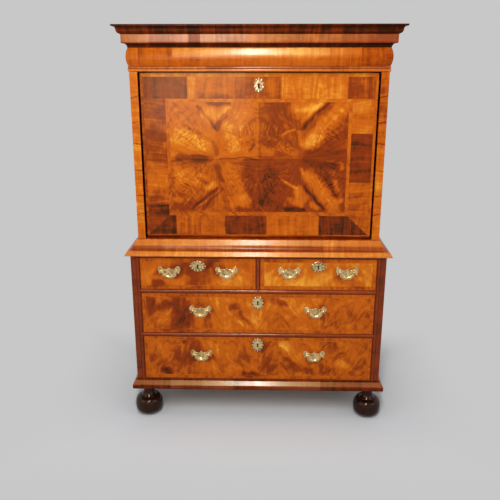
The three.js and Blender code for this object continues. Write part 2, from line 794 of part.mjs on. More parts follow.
function placeBase() {
  place('base_side_left', baseSide(-1), 'walnut');
  place('base_side_right', baseSide(1), 'walnut');
  place('base_top_board', baseTopBoard(), 'carcase');
  place('base_bottom_board', baseBottomBoard(), 'carcase');
  place('base_back', baseBack(), 'carcase');
  place('dust_board_lower', dustBoard(lowerRailFoot), 'walnut');
  place('dust_board_upper', dividedDustBoard(), 'walnut');
  place('waist_moulding', waistMoulding(), 'walnut');
  place('plinth_moulding', plinthMoulding(), 'walnut');
  const names = ['foot_front_left', 'foot_front_right', 'foot_rear_left', 'foot_rear_right'];
  footPlaces().forEach((spot, i) => place(names[i], bunFoot(spot), 'black'));
}

function placeUpper() {
  place('upper_side_left', upperSide(-1), 'walnut');
  place('upper_side_right', upperSide(1), 'walnut');
  place('cornice', corniceTop(), 'walnut');
  place('upper_floor', upperFloor(), 'walnut');
  place('upper_back', upperBack(), 'carcase');
  place('frieze_board', friezeBoard(), 'carcase');
  place('frieze_surround', friezeSurround(), 'walnut');
  place('frieze_drawer_front', friezeDrawerFront(), 'walnut');
  place('frieze_drawer_box', friezeDrawerBox(), 'carcase');
  place('pigeonhole_nest', pigeonholeNest(), 'walnut');
  for (const [name, spot] of Object.entries(smallDrawerPlaces)) place(name, smallDrawerSolid(spot), 'walnut');
}

function placeFall() {
  place('fall_panel', fallPanel(), 'walnut');
  place('stay_left', quadrantStay(-1), 'brass');
  place('stay_right', quadrantStay(1), 'brass');
  const z = fallTop - fallEscutcheon.drop;
  place('fall_escutcheon', scallopedPlate(0, z, fallEscutcheon, fall.recess - seat), 'brass');
}

function placeHandle(name, x, z) {
  place(`${name}_plate`, handlePlate(x, z), 'brass');
  place(`${name}_bail`, handleBail(x, z), 'brass');
}

function placeDrawer(name, spot) {
  place(`${name}_front`, drawerFront(spot), 'walnut');
  place(`${name}_box`, drawerBox(spot), 'carcase');
  const middleX = (spot.x[0] + spot.x[1]) / 2;
  const middleZ = (spot.z[0] + spot.z[1]) / 2;
  const z = spot.z[1] - runningGap - spot.escutcheon.drop;
  place(`${name}_escutcheon`, scallopedPlate(middleX, z, spot.escutcheon, plateBack), 'brass');
  placeHandle(`${name}_handle_left`, spot.x[0] + spot.inset, middleZ + spot.handleRise);
  placeHandle(`${name}_handle_right`, spot.x[1] - spot.inset, middleZ + spot.handleRise);
}

placeBase();
placeUpper();
placeFall();
for (const [name, spot] of Object.entries(drawerPlaces)) placeDrawer(name, spot);

export default escritoire;
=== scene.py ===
"""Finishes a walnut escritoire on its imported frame: veneers, mouldings, brass, leather and feet.

Tables and settings are in millimetres, as a cabinet maker would write them. Meshes are in metres,
in the frame's own place: X to the right, Y to the back, Z up. Each piece is a surface worked out
from two parameters, or a profile carried along a path.
"""

import math

import bmesh
import bpy
import numpy as np
from bpy.props import FloatProperty, FloatVectorProperty, IntProperty, PointerProperty
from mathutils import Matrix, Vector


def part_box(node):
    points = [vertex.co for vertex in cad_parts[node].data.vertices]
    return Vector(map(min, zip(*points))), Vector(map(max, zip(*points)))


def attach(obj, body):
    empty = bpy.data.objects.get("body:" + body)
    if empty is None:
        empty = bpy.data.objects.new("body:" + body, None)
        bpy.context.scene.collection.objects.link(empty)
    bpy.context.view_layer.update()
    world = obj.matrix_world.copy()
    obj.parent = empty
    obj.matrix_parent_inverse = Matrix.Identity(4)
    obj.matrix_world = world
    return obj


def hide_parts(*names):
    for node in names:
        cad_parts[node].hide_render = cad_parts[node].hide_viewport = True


bl_info = {
    "name": "Walnut Escritoire",
    "version": (1, 0, 0),
    "blender": (4, 5, 0),
    "location": "3D View > Sidebar > Escritoire",
    "description": "Veneers, mouldings, brass and feet of a fall-front writing cabinet",
    "category": "Add Mesh",
}

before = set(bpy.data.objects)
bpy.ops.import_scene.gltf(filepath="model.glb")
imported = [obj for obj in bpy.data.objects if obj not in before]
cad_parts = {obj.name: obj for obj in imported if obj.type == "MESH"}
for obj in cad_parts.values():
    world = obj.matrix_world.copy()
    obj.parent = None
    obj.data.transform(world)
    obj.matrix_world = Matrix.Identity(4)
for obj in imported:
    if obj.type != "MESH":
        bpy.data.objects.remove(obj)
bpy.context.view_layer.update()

MM = 0.001
LEFT_RIGHT = (("left", -1), ("right", 1))


def box_mm(node):
    """Lowest and highest corner of a frame node, in millimetres."""
    low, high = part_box(node)
    return np.array(low) / MM, np.array(high) / MM


def levels_mm(node):
    """Foot and top of a frame node, in millimetres."""
    return tuple(corner[2] for corner in box_mm(node))


UPPER_FRONT = box_mm("upper_side_left")[0][1]
UPPER_HALF = -box_mm("upper_side_left")[0][0]
BASE_FRONT = box_mm("lower_drawer_front")[0][1]
BASE_HALF = -box_mm("base_side_left")[0][0]
CASE_BACK = box_mm("base_back")[1][1]
WAIST_FOOT, WAIST_TOP = levels_mm("waist_moulding")
PLINTH_FOOT, PLINTH_TOP = levels_mm("plinth_moulding")
CORNICE_FOOT, CORNICE_TOP = levels_mm("cornice")
ASTRAGAL_FOOT, CUSHION_TOP = levels_mm("frieze_surround")
CUSHION_FOOT = levels_mm("frieze_board")[1]
FALL_LOW, FALL_HIGH = box_mm("fall_panel")
FALL_RADIUS = (FALL_HIGH[1] - FALL_LOW[1]) / 2
FALL_PIVOT = FALL_LOW[1:] + FALL_RADIUS  # depth and height of the line that the fall turns about
FALL_HALF = 453.9  # half the width of its slab, without the pins
FALL_VENEER = (-FALL_HALF, FALL_HALF, FALL_LOW[2] + 13, FALL_HIGH[2])  # left, right, foot above the round, top
HIDDEN_TONE = 0.2  # of faces that turn into the case
CLEAR = 0.2  # keeps a veneer off the moulding beside it
WHOLE = 1e9  # cell of a leaf that isn't divided


def tint(red, green, blue):
    """Display colour from 0 to 255 as the linear colour that shaders use."""
    values = np.array([red, green, blue]) / 255
    linear = np.where(values <= 0.04045, values / 12.92, ((values + 0.055) / 1.055) ** 2.4)
    return tuple(float(v) for v in linear)


# Settings


def length_setting(name, description, default, **limits):
    """A length in millimetres."""
    return FloatProperty(name=name, description=description + " in mm", default=default, **limits)


def power_setting(name, description, default):
    """The power of a lamp."""
    return FloatProperty(name=name, description=description, default=default, unit="POWER")


def colour_setting(name, description, *shades):
    """A colour given by its display shades from 0 to 255."""
    return FloatVectorProperty(name=name, description=description, default=tint(*shades), subtype="COLOR")


class StudioSettings(bpy.types.PropertyGroup):
    lens: FloatProperty(name="Lens", description="Focal length on a 36 mm sensor", default=43.2, unit="CAMERA")
    place: FloatVectorProperty(
        name="Camera place", description="Where the camera stands", default=(0.0227, -2.546, 1.4729),
        subtype="TRANSLATION", unit="LENGTH",
    )
    turn: FloatVectorProperty(
        name="Camera turn", description="How the camera is turned",
        default=(math.radians(73.07), 0, math.radians(1.36)), subtype="EULER", unit="ROTATION",
    )
    key: power_setting("Key lamp", "Power of the lamp above the camera", 48)
    fill: power_setting("Fill lamps", "Power of each side lamp", 9)
    window: power_setting("Window", "Power of the pale card behind the camera", 12)
    sky: FloatProperty(name="Surround", description="Strength of the even light all round", default=0.36)
    floor: colour_setting("Floor", "Colour of floor and backdrop", 200, 200, 201)


class WalnutSettings(bpy.types.PropertyGroup):
    dark: colour_setting("Dark", "Darkest heartwood", 52, 17, 5)
    brown: colour_setting("Brown", "Red-brown heartwood", 140, 48, 9)
    orange: colour_setting("Orange", "Middle tone of the veneer", 204, 98, 12)
    gold: colour_setting("Gold", "Palest sapwood", 248, 174, 56)
    thickness: length_setting("Veneer", "Thickness of a leaf", 0.6, min=0.2)
    joint: length_setting("Joint", "Gap between two leaves", 0.16, min=0)


class MouldingSettings(bpy.types.PropertyGroup):
    steps: IntProperty(name="Curve steps", description="Points on each curve of a profile", default=12, min=4)
    shortest: length_setting("Shortest block", "Shortest cross-grain block", 46)
    longest: length_setting("Longest block", "Longest cross-grain block", 118)
    spread: FloatProperty(name="Spread of tone", description="How far blocks differ in tone", default=0.05)


class FallSettings(bpy.types.PropertyGroup):
    lip: length_setting("Lip", "Width of the lip round the fall", 14)
    feather: length_setting("Feather line", "Width of the pale line", 13)
    leather: colour_setting("Leather", "Colour of the writing leather", 44, 66, 40)


class DrawerSettings(bpy.types.PropertyGroup):
    lip: length_setting("Lip", "Width of the lip round a drawer front", 3.2)
    band: length_setting("Band", "Width of the cross-grain band", 13)
    feather: length_setting("Feather line", "Width of the pale line", 3.5)


class BrassSettings(bpy.types.PropertyGroup):
    # Pale brass, used on the fall's escutcheon, is partly painted highlight: paler than the other brasses, as the
    # lamp's light on it.
    pale: colour_setting("Pale brass", "Where it was silvered", 232, 208, 174)
    bright: colour_setting("Bright brass", "Where hands keep it bright", 255, 229, 166)
    dull: colour_setting("Dull brass", "Where it has darkened", 150, 104, 52)


class FootSettings(bpy.types.PropertyGroup):
    colour: colour_setting("Ebonised wood", "Colour of the feet", 34, 9, 3)
    sides: IntProperty(name="Sides", description="Steps round a foot", default=72, min=16)


SETTINGS = {
    "walnut": WalnutSettings, "moulding": MouldingSettings, "fall": FallSettings, "drawer": DrawerSettings,
    "brass": BrassSettings, "foot": FootSettings, "studio": StudioSettings,
}


def settings(name):
    """One of the scene's groups of settings."""
    return getattr(bpy.context.scene, "escritoire_" + name)


# Meshes


def grid_faces(rows, columns, wrap_rows=False, wrap_columns=False):
    """Corner numbers of every cell between rows and columns of points, all turned the same way."""
    i, j = np.meshgrid(
        np.arange(rows if wrap_rows else rows - 1), np.arange(columns if wrap_columns else columns - 1),
        indexing="ij",
    )
    below, right = (i + 1) % rows, (j + 1) % columns
    cells = [i * columns + j, i * columns + right, below * columns + right, below * columns + j]
    return np.stack(cells, -1).reshape(-1, 4)


def grid_uv(across, along):
    """Map place of each corner of every cell, from the places of rows and columns."""
    i, j = np.meshgrid(np.arange(len(across) - 1), np.arange(len(along) - 1), indexing="ij")
    corners = [(i, j), (i, j + 1), (i + 1, j + 1), (i + 1, j)]
    places = [np.stack([across[a], along[b]], -1) for a, b in corners]
    return np.stack(places, 2).reshape(-1, 2)


def lengths(path):
    """Length along a path at each of its points."""
    return np.concatenate([[0], np.cumsum(np.hypot(*np.diff(path, axis=0).T))])


def closed(outline):
    """An outline with its first point again at its end."""
    return np.vstack([outline, outline[:1]])


def build(name, points, faces, uv=None, marks=None):
    """An object from points in millimetres, its faces, the map place of each corner, and named values."""
    mesh = bpy.data.meshes.new(name)
    mesh.from_pydata((np.asarray(points, float) * MM).tolist(), [], [list(map(int, face)) for face in faces])
    if uv is not None:
        layer = mesh.uv_layers.new(name="leaf")
        layer.data.foreach_set("uv", (np.asarray(uv, float) * MM).ravel())
    for key, (domain, values) in (marks or {}).items():
        values = np.asarray(values, float)
        kind, field = ("FLOAT", "value") if values.ndim == 1 else ("FLOAT_VECTOR", "vector")
        mesh.attributes.new(key, kind, domain).data.foreach_set(field, values.ravel())
    mesh.update()
    item = bpy.data.objects.new(name, mesh)
    bpy.context.scene.collection.objects.link(item)
    return item


def close_up(item, sharp=35.0):
    """Turns a closed piece's faces outwards and shades it smooth between its sharp edges."""
    work = bmesh.new()
    work.from_mesh(item.data)
    bmesh.ops.remove_doubles(work, verts=work.verts, dist=1e-7)
    bmesh.ops.recalc_face_normals(work, faces=work.faces)
    work.to_mesh(item.data)
    work.free()
    item.data.shade_smooth()
    item.data.set_sharp_from_angle(angle=math.radians(sharp))
    return item


def finish(item, body, material, nodes=()):
    """Gives a piece its body, its finish and the frame nodes it stands for."""
    item.data.materials.clear()
    item.data.materials.append(material)
    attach(item, body)
    if nodes:
        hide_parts(*nodes)
    return item


def dress(name, material):
    """Gives a frame node its finish."""
    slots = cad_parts[name].data.materials
    slots.clear()
    slots.append(material)


def soften(item, width, segments=2):
    """A small round on every sharp edge."""
    bevel = item.modifiers.new("Arris", "BEVEL")
    bevel.width = width * MM
    bevel.segments = segments
    bevel.limit_method = "ANGLE"
    bevel.angle_limit = math.radians(32)
    return item


def profile(rows, width, height, foot, steps):
    """Points of a profile and the tone of each stretch between them.

    A row is tone, out, up for a straight line, or tone, out, up, out, up for a curve with its control
    place first: (1 - t)^2 start + 2 t (1 - t) control + t^2 end.
    """
    points, tones = [], []
    t = np.linspace(0, 1, steps + 1)[1:, None]
    for tone, *shares in rows:
        places = np.array(shares).reshape(-1, 2) * [width, height] + [0, foot]
        if not points:
            points.append(places[-1:])
            continue
        start = points[-1][-1]
        if len(places) == 1:
            new = places
        else:
            new = (1 - t) ** 2 * start + 2 * t * (1 - t) * places[0] + t**2 * places[1]
        points.append(new)
        tones += [tone] * len(new)
    return np.concatenate(points), np.array(tones)


def blocks(low, high, seed, runs):
    """Joints between cross-grain blocks along a run, and the tone of each block."""
    chance = np.random.default_rng(seed)
    joints = [low]
    while high - joints[-1] > runs.longest:
        joints.append(joints[-1] + chance.uniform(runs.shortest, runs.longest))
    joints.append(high)
    return np.array(joints), chance.uniform(-runs.spread, runs.spread, len(joints) - 1)


def run_of_blocks(name, rings, faces, uv, tones, starts):
    """A closed piece from the two rings, the faces, the map and the tones of each block, capped at two rings."""
    points = np.concatenate(rings)
    caps = [list(range(start, start + len(rings[0]))) for start in starts]
    uv = np.concatenate(uv + [points[cap][:, 1:] for cap in caps])
    tones = np.concatenate(tones + [[HIDDEN_TONE] * 2])
    return close_up(build(name, points, list(np.concatenate(faces)) + caps, uv, {"tone": ("FACE", tones)}))


def mitred_run(name, section, tones, half, front, seed, runs, front_blocks=None):
    """A closed section carried round the left side, the front and the right side, mitred at the corners.

    Each point is at its leg's place plus its own reach outwards, so that the corners meet at 45 degrees.
    The map runs along the leg, so that the grain goes across it, and each block has its own tone.
    """
    out, up = section.T
    count = len(section)
    around = lengths(closed(section))
    tones = np.append(tones, np.full(count - len(tones), HIDDEN_TONE))
    rings, faces, uv, marks, leg_ends = [], [], [], [], []
    for number, (side, low, high) in enumerate([(-1, front, CASE_BACK), (0, -half, half), (1, front, CASE_BACK)]):
        if side == 0 and front_blocks is not None:
            joints, block_tones = np.array(front_blocks[0]), front_blocks[1]
        else:
            joints, block_tones = blocks(low, high, seed + number, runs)
        for k, block_tone in enumerate(block_tones):
            faces.append(grid_faces(2, count, wrap_columns=True) + len(rings) * count)
            for end in joints[k : k + 2]:
                if side == 0:
                    slide = end + (out if end == high else -out if end == low else 0 * out)
                    rings.append(np.stack([slide, front - out, up], -1))
                else:
                    slide = end - out if end == low else end + 0 * out
                    rings.append(np.stack([side * (half + out), slide, up], -1))
            along = np.stack([closed(ring)[:, abs(side)] for ring in rings[-2:]])
            place = np.stack([along, np.broadcast_to(around, along.shape)], -1)
            corners = np.stack([place[0, :-1], place[0, 1:], place[1, 1:], place[1, :-1]], 1)
            uv.append(corners.reshape(-1, 2) + [97.0 * k + 411.0 * number, 0])
            marks.append(tones + block_tone)
        leg_ends.append((len(rings) - 1) * count)
    return run_of_blocks(name, rings, faces, uv, marks, leg_ends[::2])


def extruded(name, outline, axis, span):
    """A flat outline in millimetres carried straight along an axis. The map's length runs along it."""
    outline = np.array(outline, float)
    count = len(outline)
    others = [i for i in range(3) if i != axis]
    points = np.zeros((2, count, 3))
    points[:, :, others] = outline
    points[0, :, axis], points[1, :, axis] = span
    faces = list(grid_faces(2, count, wrap_columns=True))
    caps = [list(range(count)), list(range(count, 2 * count))]
    uv = grid_uv(np.array(span, float), lengths(closed(outline)))[:, ::-1]
    uv = np.concatenate([uv, outline, outline])
    return close_up(build(name, points.reshape(-1, 3), faces + caps, uv))


def block(name, x, y, z):
    """A block between two places on each axis, mapped along its longest side."""
    spans = [np.array(sorted(s), float) for s in (x, y, z)]
    axis = int(np.argmax([s[1] - s[0] for s in spans]))
    a, b = [spans[i] for i in range(3) if i != axis]
    return extruded(name, [(a[0], b[0]), (a[1], b[0]), (a[1], b[1]), (a[0], b[1])], axis, spans[axis])


def turned(name, rows, centre, axis, sides, sign=1):
    """A profile of radius and height turned about an axis: place = centre + radius round it + height along it."""
    rows = np.array(rows, float)
    angle = np.linspace(0, 2 * math.pi, sides, endpoint=False)
    others = [i for i in range(3) if i != axis]
    points = np.zeros((len(rows), sides, 3))
    points[:, :, others[0]] = rows[:, :1] * np.cos(angle)
    points[:, :, others[1]] = rows[:, :1] * np.sin(angle)
    points[:, :, axis] = sign * rows[:, 1:]
    points += np.array(centre, float)
    uv = grid_uv(lengths(rows), np.linspace(0, 2 * math.pi * rows[:, 0].max(), sides + 1))
    faces = list(grid_faces(len(rows), sides, wrap_columns=True))
    return close_up(build(name, points.reshape(-1, 3), faces, uv))


def joined(name, items):
    """Several pieces of one finish made one object."""
    for item in items[1:]:
        item.data.materials.clear()
    with bpy.context.temp_override(
        active_object=items[0], selected_objects=items, selected_editable_objects=items, object=items[0],
    ):
        bpy.ops.object.join()
    items[0].name = name
    items[0].data.name = name
    return items[0]


# Veneer leaves


def soft_marks(x, z, marks):
    """Sum of soft strokes over a surface.

    A stroke runs from one place to another with a width, and adds its tone times
    exp(-(distance from the stroke / width)^4). Places are first bent by slow waves, so that no edge is ruled.
    """
    bent_x = x + 5 * np.sin(z / 31 + x / 57) + 2.4 * np.sin(z / 11.3 - x / 17)
    bent_z = z + 4 * np.sin(x / 37 - z / 61) + 2.2 * np.sin(x / 12.7 + z / 19)
    total = np.zeros_like(x)
    for x0, z0, x1, z1, width, tone in marks:
        run = np.array([x1 - x0, z1 - z0], float)
        length = max(float(run @ run), 1e-9)
        t = np.clip(((bent_x - x0) * run[0] + (bent_z - z0) * run[1]) / length, 0, 1)
        distance = np.hypot(bent_x - x0 - t * run[0], bent_z - z0 - t * run[1])
        total += tone * np.exp(-((distance / width) ** 4))
    return total


def leaf(corners, angle, tone, figure, flip=(1, 1), home=(0, 0), cell=WHOLE, fan=False):
    """One leaf: its four corners, the turn of its grain from upright, tone, and (streak, curl, burr)."""
    return {
        "corners": np.array(corners, float), "angle": math.radians(angle), "tone": tone, "figure": figure,
        "flip": flip, "home": home, "cell": cell, "fan": fan,
    }


def oblong(x0, x1, z0, z1, angle, tone, figure, **more):
    """A leaf with square corners."""
    return leaf(square((x0, x1, z0, z1)), angle, tone, figure, **more)


def square(edges):
    """Four corners between two places across and two places up."""
    x0, x1, z0, z1 = edges
    return [(x0, z0), (x1, z0), (x1, z1), (x0, z1)]


def inset(edges, margin):
    """An oblong drawn in by a margin on every side."""
    x0, x1, z0, z1 = edges
    return x0 + margin, x1 - margin, z0 + margin, z1 - margin


def mitred_leaves(outer, inner, turns, tones, figure, **more):
    """Four leaves between two oblongs that meet at the corners: bottom, right, top and left."""
    o, i = square(outer), square(inner)
    return [leaf([o[k], o[k - 3], i[k - 3], i[k]], turns[k], tones[k], figure, **more) for k in range(4)]


def leaf_sheet(name, leaves, facing, marks=()):
    """Leaves laid side by side, each one a grid between its four corners drawn in by half a joint.

    A place in a leaf is (1-s)(1-t) A + s(1-t) B + s t C + (1-s) t D. Its map place is turned to its grain. In
    a fan it is (300 x angle, distance) about the leaf's home, with most curl in the rays near 50 degrees.
    facing turns a place on the sheet into a place in the frame. Solidify gives the leaves their thickness.
    """
    walnut_settings = settings("walnut")
    points, faces, uv, tones, figures = [], [], [], [], []
    start = 0
    for number, item in enumerate(leaves):
        corners = item["corners"]
        corners = corners - np.sign(corners - corners.mean(0)) * (walnut_settings.joint / 2)
        sizes = np.linalg.norm(np.roll(corners, -1, 0) - corners, axis=1)
        columns = max(2, int(max(sizes[0], sizes[2]) / item["cell"]) + 2)
        rows = max(2, int(max(sizes[1], sizes[3]) / item["cell"]) + 2)
        t, s = np.meshgrid(np.linspace(0, 1, rows), np.linspace(0, 1, columns), indexing="ij")
        s, t = s[..., None], t[..., None]
        a, b, c, d = corners
        flat = ((1 - s) * (1 - t) * a + s * (1 - t) * b + s * t * c + (1 - s) * t * d).reshape(-1, 2)
        cells = grid_faces(rows, columns)
        turn = item["angle"]
        local = (flat - item["home"]) * item["flip"]
        across = local[:, 0] * math.cos(turn) + local[:, 1] * math.sin(turn)
        along = -local[:, 0] * math.sin(turn) + local[:, 1] * math.cos(turn)
        figure = np.tile(item["figure"], (len(flat), 1)).astype(float)
        if item["fan"]:
            ray = np.arctan2(local[:, 0], np.abs(local[:, 1]) + 1e-6)
            along = np.hypot(local[:, 0], local[:, 1])
            plume = np.exp(-(((np.abs(ray) - 0.86) / 0.36) ** 2)) * np.clip(along / 60, 0, 1)
            along = along + 14 * np.sin(3.1 * ray + along / 43) + 7 * np.sin(7.3 * ray - along / 29)
            across = 300 * ray + 9 * np.sin(along / 37) + 1211 * (local[:, 1] < 0)
            figure[:, 0] *= (0.8 - 0.3 * plume) * np.clip(along / 110, 0.2, 1)
            figure[:, 1] *= 0.14 + plume
        offset = [0, 0] if item["cell"] < WHOLE else [613.0 * number, 227.0 * number]
        uv.append((np.stack([across, along], -1) + offset)[cells.ravel()])
        points.append(flat)
        faces.append(cells + start)
        tones.append(item["tone"] + soft_marks(flat[:, 0], flat[:, 1], marks))
        figures.append(figure)
        start += len(flat)
    flat = np.concatenate(points)
    item = build(
        name, facing(flat), np.concatenate(faces), np.concatenate(uv),
        {"tone": ("POINT", np.concatenate(tones)), "figure": ("POINT", np.concatenate(figures))},
    )
    work = bmesh.new()
    work.from_mesh(item.data)
    work.faces.ensure_lookup_table()
    origin = np.zeros((1, 2))
    outward = facing(origin, 1.0)[0] - facing(origin, 0.0)[0]
    if np.dot(work.faces[0].normal, outward) < 0:
        bmesh.ops.reverse_faces(work, faces=work.faces)
    work.to_mesh(item.data)
    work.free()
    thick = item.modifiers.new("Thickness", "SOLIDIFY")
    thick.thickness = walnut_settings.thickness * MM
    thick.offset = -1
    return item


def veneered(name, leaves, facing, body, marks=()):
    """A sheet of walnut leaves that rides on a body."""
    return finish(leaf_sheet(name, leaves, facing, marks), body, walnut_leaf())


def facing_front(y):
    """Places on a sheet that faces the front, at depth y: across is X and up is Z."""
    return lambda flat, out=0.0: np.stack([flat[:, 0], np.full(len(flat), y - out), flat[:, 1]], -1)


def facing_back(y):
    """Places on a sheet that faces the back, at depth y."""
    return lambda flat, out=0.0: np.stack([flat[:, 0], np.full(len(flat), y + out), flat[:, 1]], -1)


def facing_side(x):
    """Places on a sheet that faces left or right, at x: across is Y and up is Z."""
    return lambda flat, out=0.0: np.stack([np.full(len(flat), x + math.copysign(out, x)), flat[:, 0], flat[:, 1]], -1)


# Shader nodes

FIBRE = (1.0, 0.84, 0.2)  # warm sheen that lies in the wood's fibres
DRAWER_OAK = tint(206, 164, 108)


class Nodes:
    """Short calls that add nodes to one tree and join them."""

    def __init__(self, tree):
        self.tree = tree
        tree.nodes.clear()

    def add(self, kind, inputs=None, **options):
        node = self.tree.nodes.new(kind)
        for key, value in options.items():
            setattr(node, key, value)
        for key, value in (inputs or {}).items():
            self.feed(node.inputs[key], value)
        return node

    def feed(self, socket, value):
        if isinstance(value, bpy.types.NodeSocket):
            self.tree.links.new(value, socket)
        elif socket.type == "RGBA" and len(value) == 3:
            socket.default_value = (*value, 1)
        else:
            socket.default_value = value

    def math(self, operation, a, b=0.0, c=0.0):
        return self.add("ShaderNodeMath", {0: a, 1: b, 2: c}, operation=operation).outputs[0]

    def scaled(self, vector, *factors):
        """A vector times one factor, or times a factor for each axis."""
        inputs = {0: vector, 1: (factors * 3)[:3]}
        return self.add("ShaderNodeVectorMath", inputs, operation="MULTIPLY").outputs[0]

    def plus(self, vector, other):
        return self.add("ShaderNodeVectorMath", {0: vector, 1: other}, operation="ADD").outputs[0]

    def swing(self, value, weight, base=0.0):
        """Base + weight times (value - 0.5)."""
        return self.math("MULTIPLY_ADD", self.math("SUBTRACT", value, 0.5), weight, base)

    def place(self, order=None):
        """Object coordinates, with their axes in another order where one is given."""
        place = self.add("ShaderNodeTexCoord").outputs["Object"]
        if order is None:
            return place
        parts = self.parts(place)
        return self.vector(*(parts[i] for i in order))

    def mark(self, name, output="Fac"):
        """A value that the mesh carries."""
        return self.add("ShaderNodeAttribute", attribute_name=name).outputs[output]

    def noise(self, vector, detail=2.0, roughness=0.5, distortion=0.0):
        inputs = {
            "Vector": vector, "Scale": 1.0, "Detail": detail, "Roughness": roughness, "Distortion": distortion,
        }
        return self.add("ShaderNodeTexNoise", inputs).outputs[0]

    def share(self, value, low, high, to_low=0.0, to_high=1.0):
        """Value from low to high drawn to another span and held at its ends."""
        inputs = {0: value, 1: low, 2: high, 3: to_low, 4: to_high}
        return self.add("ShaderNodeMapRange", inputs, interpolation_type="SMOOTHSTEP").outputs[0]

    def mix(self, factor, a, b, blend="MIX"):
        node = self.add("ShaderNodeMix", data_type="RGBA", blend_type=blend)
        self.feed(node.inputs[0], factor)
        self.feed(node.inputs[6], a)
        self.feed(node.inputs[7], b)
        return node.outputs[2]

    def parts(self, vector):
        return self.add("ShaderNodeSeparateXYZ", {0: vector}).outputs

    def vector(self, x, y, z):
        return self.add("ShaderNodeCombineXYZ", {0: x, 1: y, 2: z}).outputs[0]


def walnut_group():
    """Polished walnut, grain along the map's second way.

    Tone = given tone + streaks along the grain + curl across it + burr swirls and eyes. The colour goes from
    dark through brown and orange to gold with tone. Pores are fine dark dashes along the grain.
    """
    tree = bpy.data.node_groups.get("Walnut")
    if tree:
        return tree
    tree = bpy.data.node_groups.new("Walnut", "ShaderNodeTree")
    scalar, colour = "NodeSocketFloat", "NodeSocketColor"
    tree.interface.new_socket("Place", in_out="INPUT", socket_type="NodeSocketVector")
    for key, default in (("Tone", 0.5), ("Streak", 0.5), ("Curl", 0.2), ("Burr", 0.0)):
        tree.interface.new_socket(key, in_out="INPUT", socket_type=scalar).default_value = default
    for key in ("Dark", "Brown", "Orange", "Gold"):
        socket = tree.interface.new_socket(key, in_out="INPUT", socket_type=colour)
        socket.default_value = (*getattr(settings("walnut"), key.lower()), 1)
    for key, kind in (("Color", colour), ("Roughness", scalar), ("Height", scalar)):
        tree.interface.new_socket(key, in_out="OUTPUT", socket_type=kind)
    n = Nodes(tree)
    given = n.add("NodeGroupInput").outputs
    place = given["Place"]
    wander = n.noise(n.scaled(place, 9, 5, 9))
    bent = n.plus(place, n.vector(n.math("MULTIPLY_ADD", wander, 0.05, -0.025), 0.0, 0.0))
    bands = n.noise(n.scaled(bent, 62, 3.4, 20), detail=3, roughness=0.6)
    lines = n.noise(n.scaled(bent, 330, 9, 60), detail=3, roughness=0.65)
    hairs = n.noise(n.scaled(bent, 1300, 45, 100), detail=1)
    ripple = n.noise(n.scaled(bent, 24, 105, 20), distortion=0.6)
    cloud = n.noise(n.scaled(place, 17), distortion=1.2)
    swirl = n.noise(n.scaled(place, 13, 26, 19), detail=3, roughness=0.46, distortion=1.9)
    fine_swirl = n.noise(n.scaled(place, 150), detail=3, roughness=0.6, distortion=1.8)
    cells = n.add("ShaderNodeTexVoronoi", {"Vector": n.scaled(place, 62), "Scale": 1.0, "Randomness": 1.0})
    eyes = n.share(cells.outputs["Distance"], 0.05, 0.2, 1.0, 0.0)
    eyes = n.math("MULTIPLY", eyes, n.share(cloud, 0.5, 0.62))
    pores = n.share(hairs, 0.6, 0.72)

    streaks = n.swing(lines, 0.55, n.swing(bands, 1.15))
    swirls = n.swing(fine_swirl, 0.12, n.swing(swirl, 1.5))
    swirls = n.math("MULTIPLY_ADD", eyes, -0.06, swirls)
    tone = n.math("MULTIPLY_ADD", streaks, given["Streak"], given["Tone"])
    tone = n.swing(ripple, given["Curl"], tone)
    tone = n.math("MULTIPLY_ADD", swirls, given["Burr"], tone)
    tone = n.math("MULTIPLY_ADD", pores, -0.07, n.swing(cloud, 0.26, tone))

    shade = n.mix(n.share(tone, 0.0, 0.3), given["Dark"], given["Brown"])
    shade = n.mix(n.share(tone, 0.28, 0.58), shade, given["Orange"])
    shade = n.mix(n.share(tone, 0.55, 0.95), shade, given["Gold"])
    rosy = n.share(n.noise(n.scaled(place, 6)), 0.35, 0.7)
    shade = n.mix(1.0, shade, n.mix(rosy, (1.03, 1.0, 0.88), (1.0, 0.97, 1.08)), "MULTIPLY")
    rough = n.math("MULTIPLY_ADD", n.noise(n.scaled(place, 23), detail=4), 0.16, 0.2)
    rough = n.math("MULTIPLY_ADD", pores, 0.12, rough)
    height = n.math("MULTIPLY_ADD", pores, -0.6, n.math("MULTIPLY", lines, 0.3))
    n.add("NodeGroupOutput", {"Color": shade, "Roughness": rough, "Height": height})
    return tree


def shader(n, base, rough, height, bump, coat=0.0, coat_rough=0.1, metal=0.0, specular=0.5, sheen=(1.0, 1.0, 1.0)):
    """A Principled shader with constants on its own sockets, relief in millimetres, and the material's output."""
    relief = n.add("ShaderNodeBump", {"Height": height, "Distance": bump * MM, "Strength": 1.0})
    principled = n.add("ShaderNodeBsdfPrincipled", {
        "Base Color": base, "Roughness": rough, "Metallic": metal, "Specular IOR Level": specular,
        "Specular Tint": sheen, "Coat Weight": coat, "Coat Roughness": coat_rough, "Normal": relief.outputs[0],
    })
    n.add("ShaderNodeOutputMaterial", {"Surface": principled.outputs[0]})


def material(name):
    """A new material and its nodes."""
    made = bpy.data.materials.new(name)
    made.use_nodes = True
    return made, Nodes(made.node_tree)


def once(fill):
    """Turns a function that fills a material's nodes into one that makes the material, once for each name."""

    def named(name=fill.__name__, *values, **more):
        made = bpy.data.materials.get(name)
        if made is None:
            made, n = material(name)
            fill(n, *values, **more)
        return made

    return named


def walnut(n, place, tone, **figure):
    """Colour, roughness and height of walnut at a place."""
    wood = n.add("ShaderNodeGroup", {"Place": place, "Tone": tone, **figure}, node_tree=walnut_group())
    return [wood.outputs[key] for key in ("Color", "Roughness", "Height")]


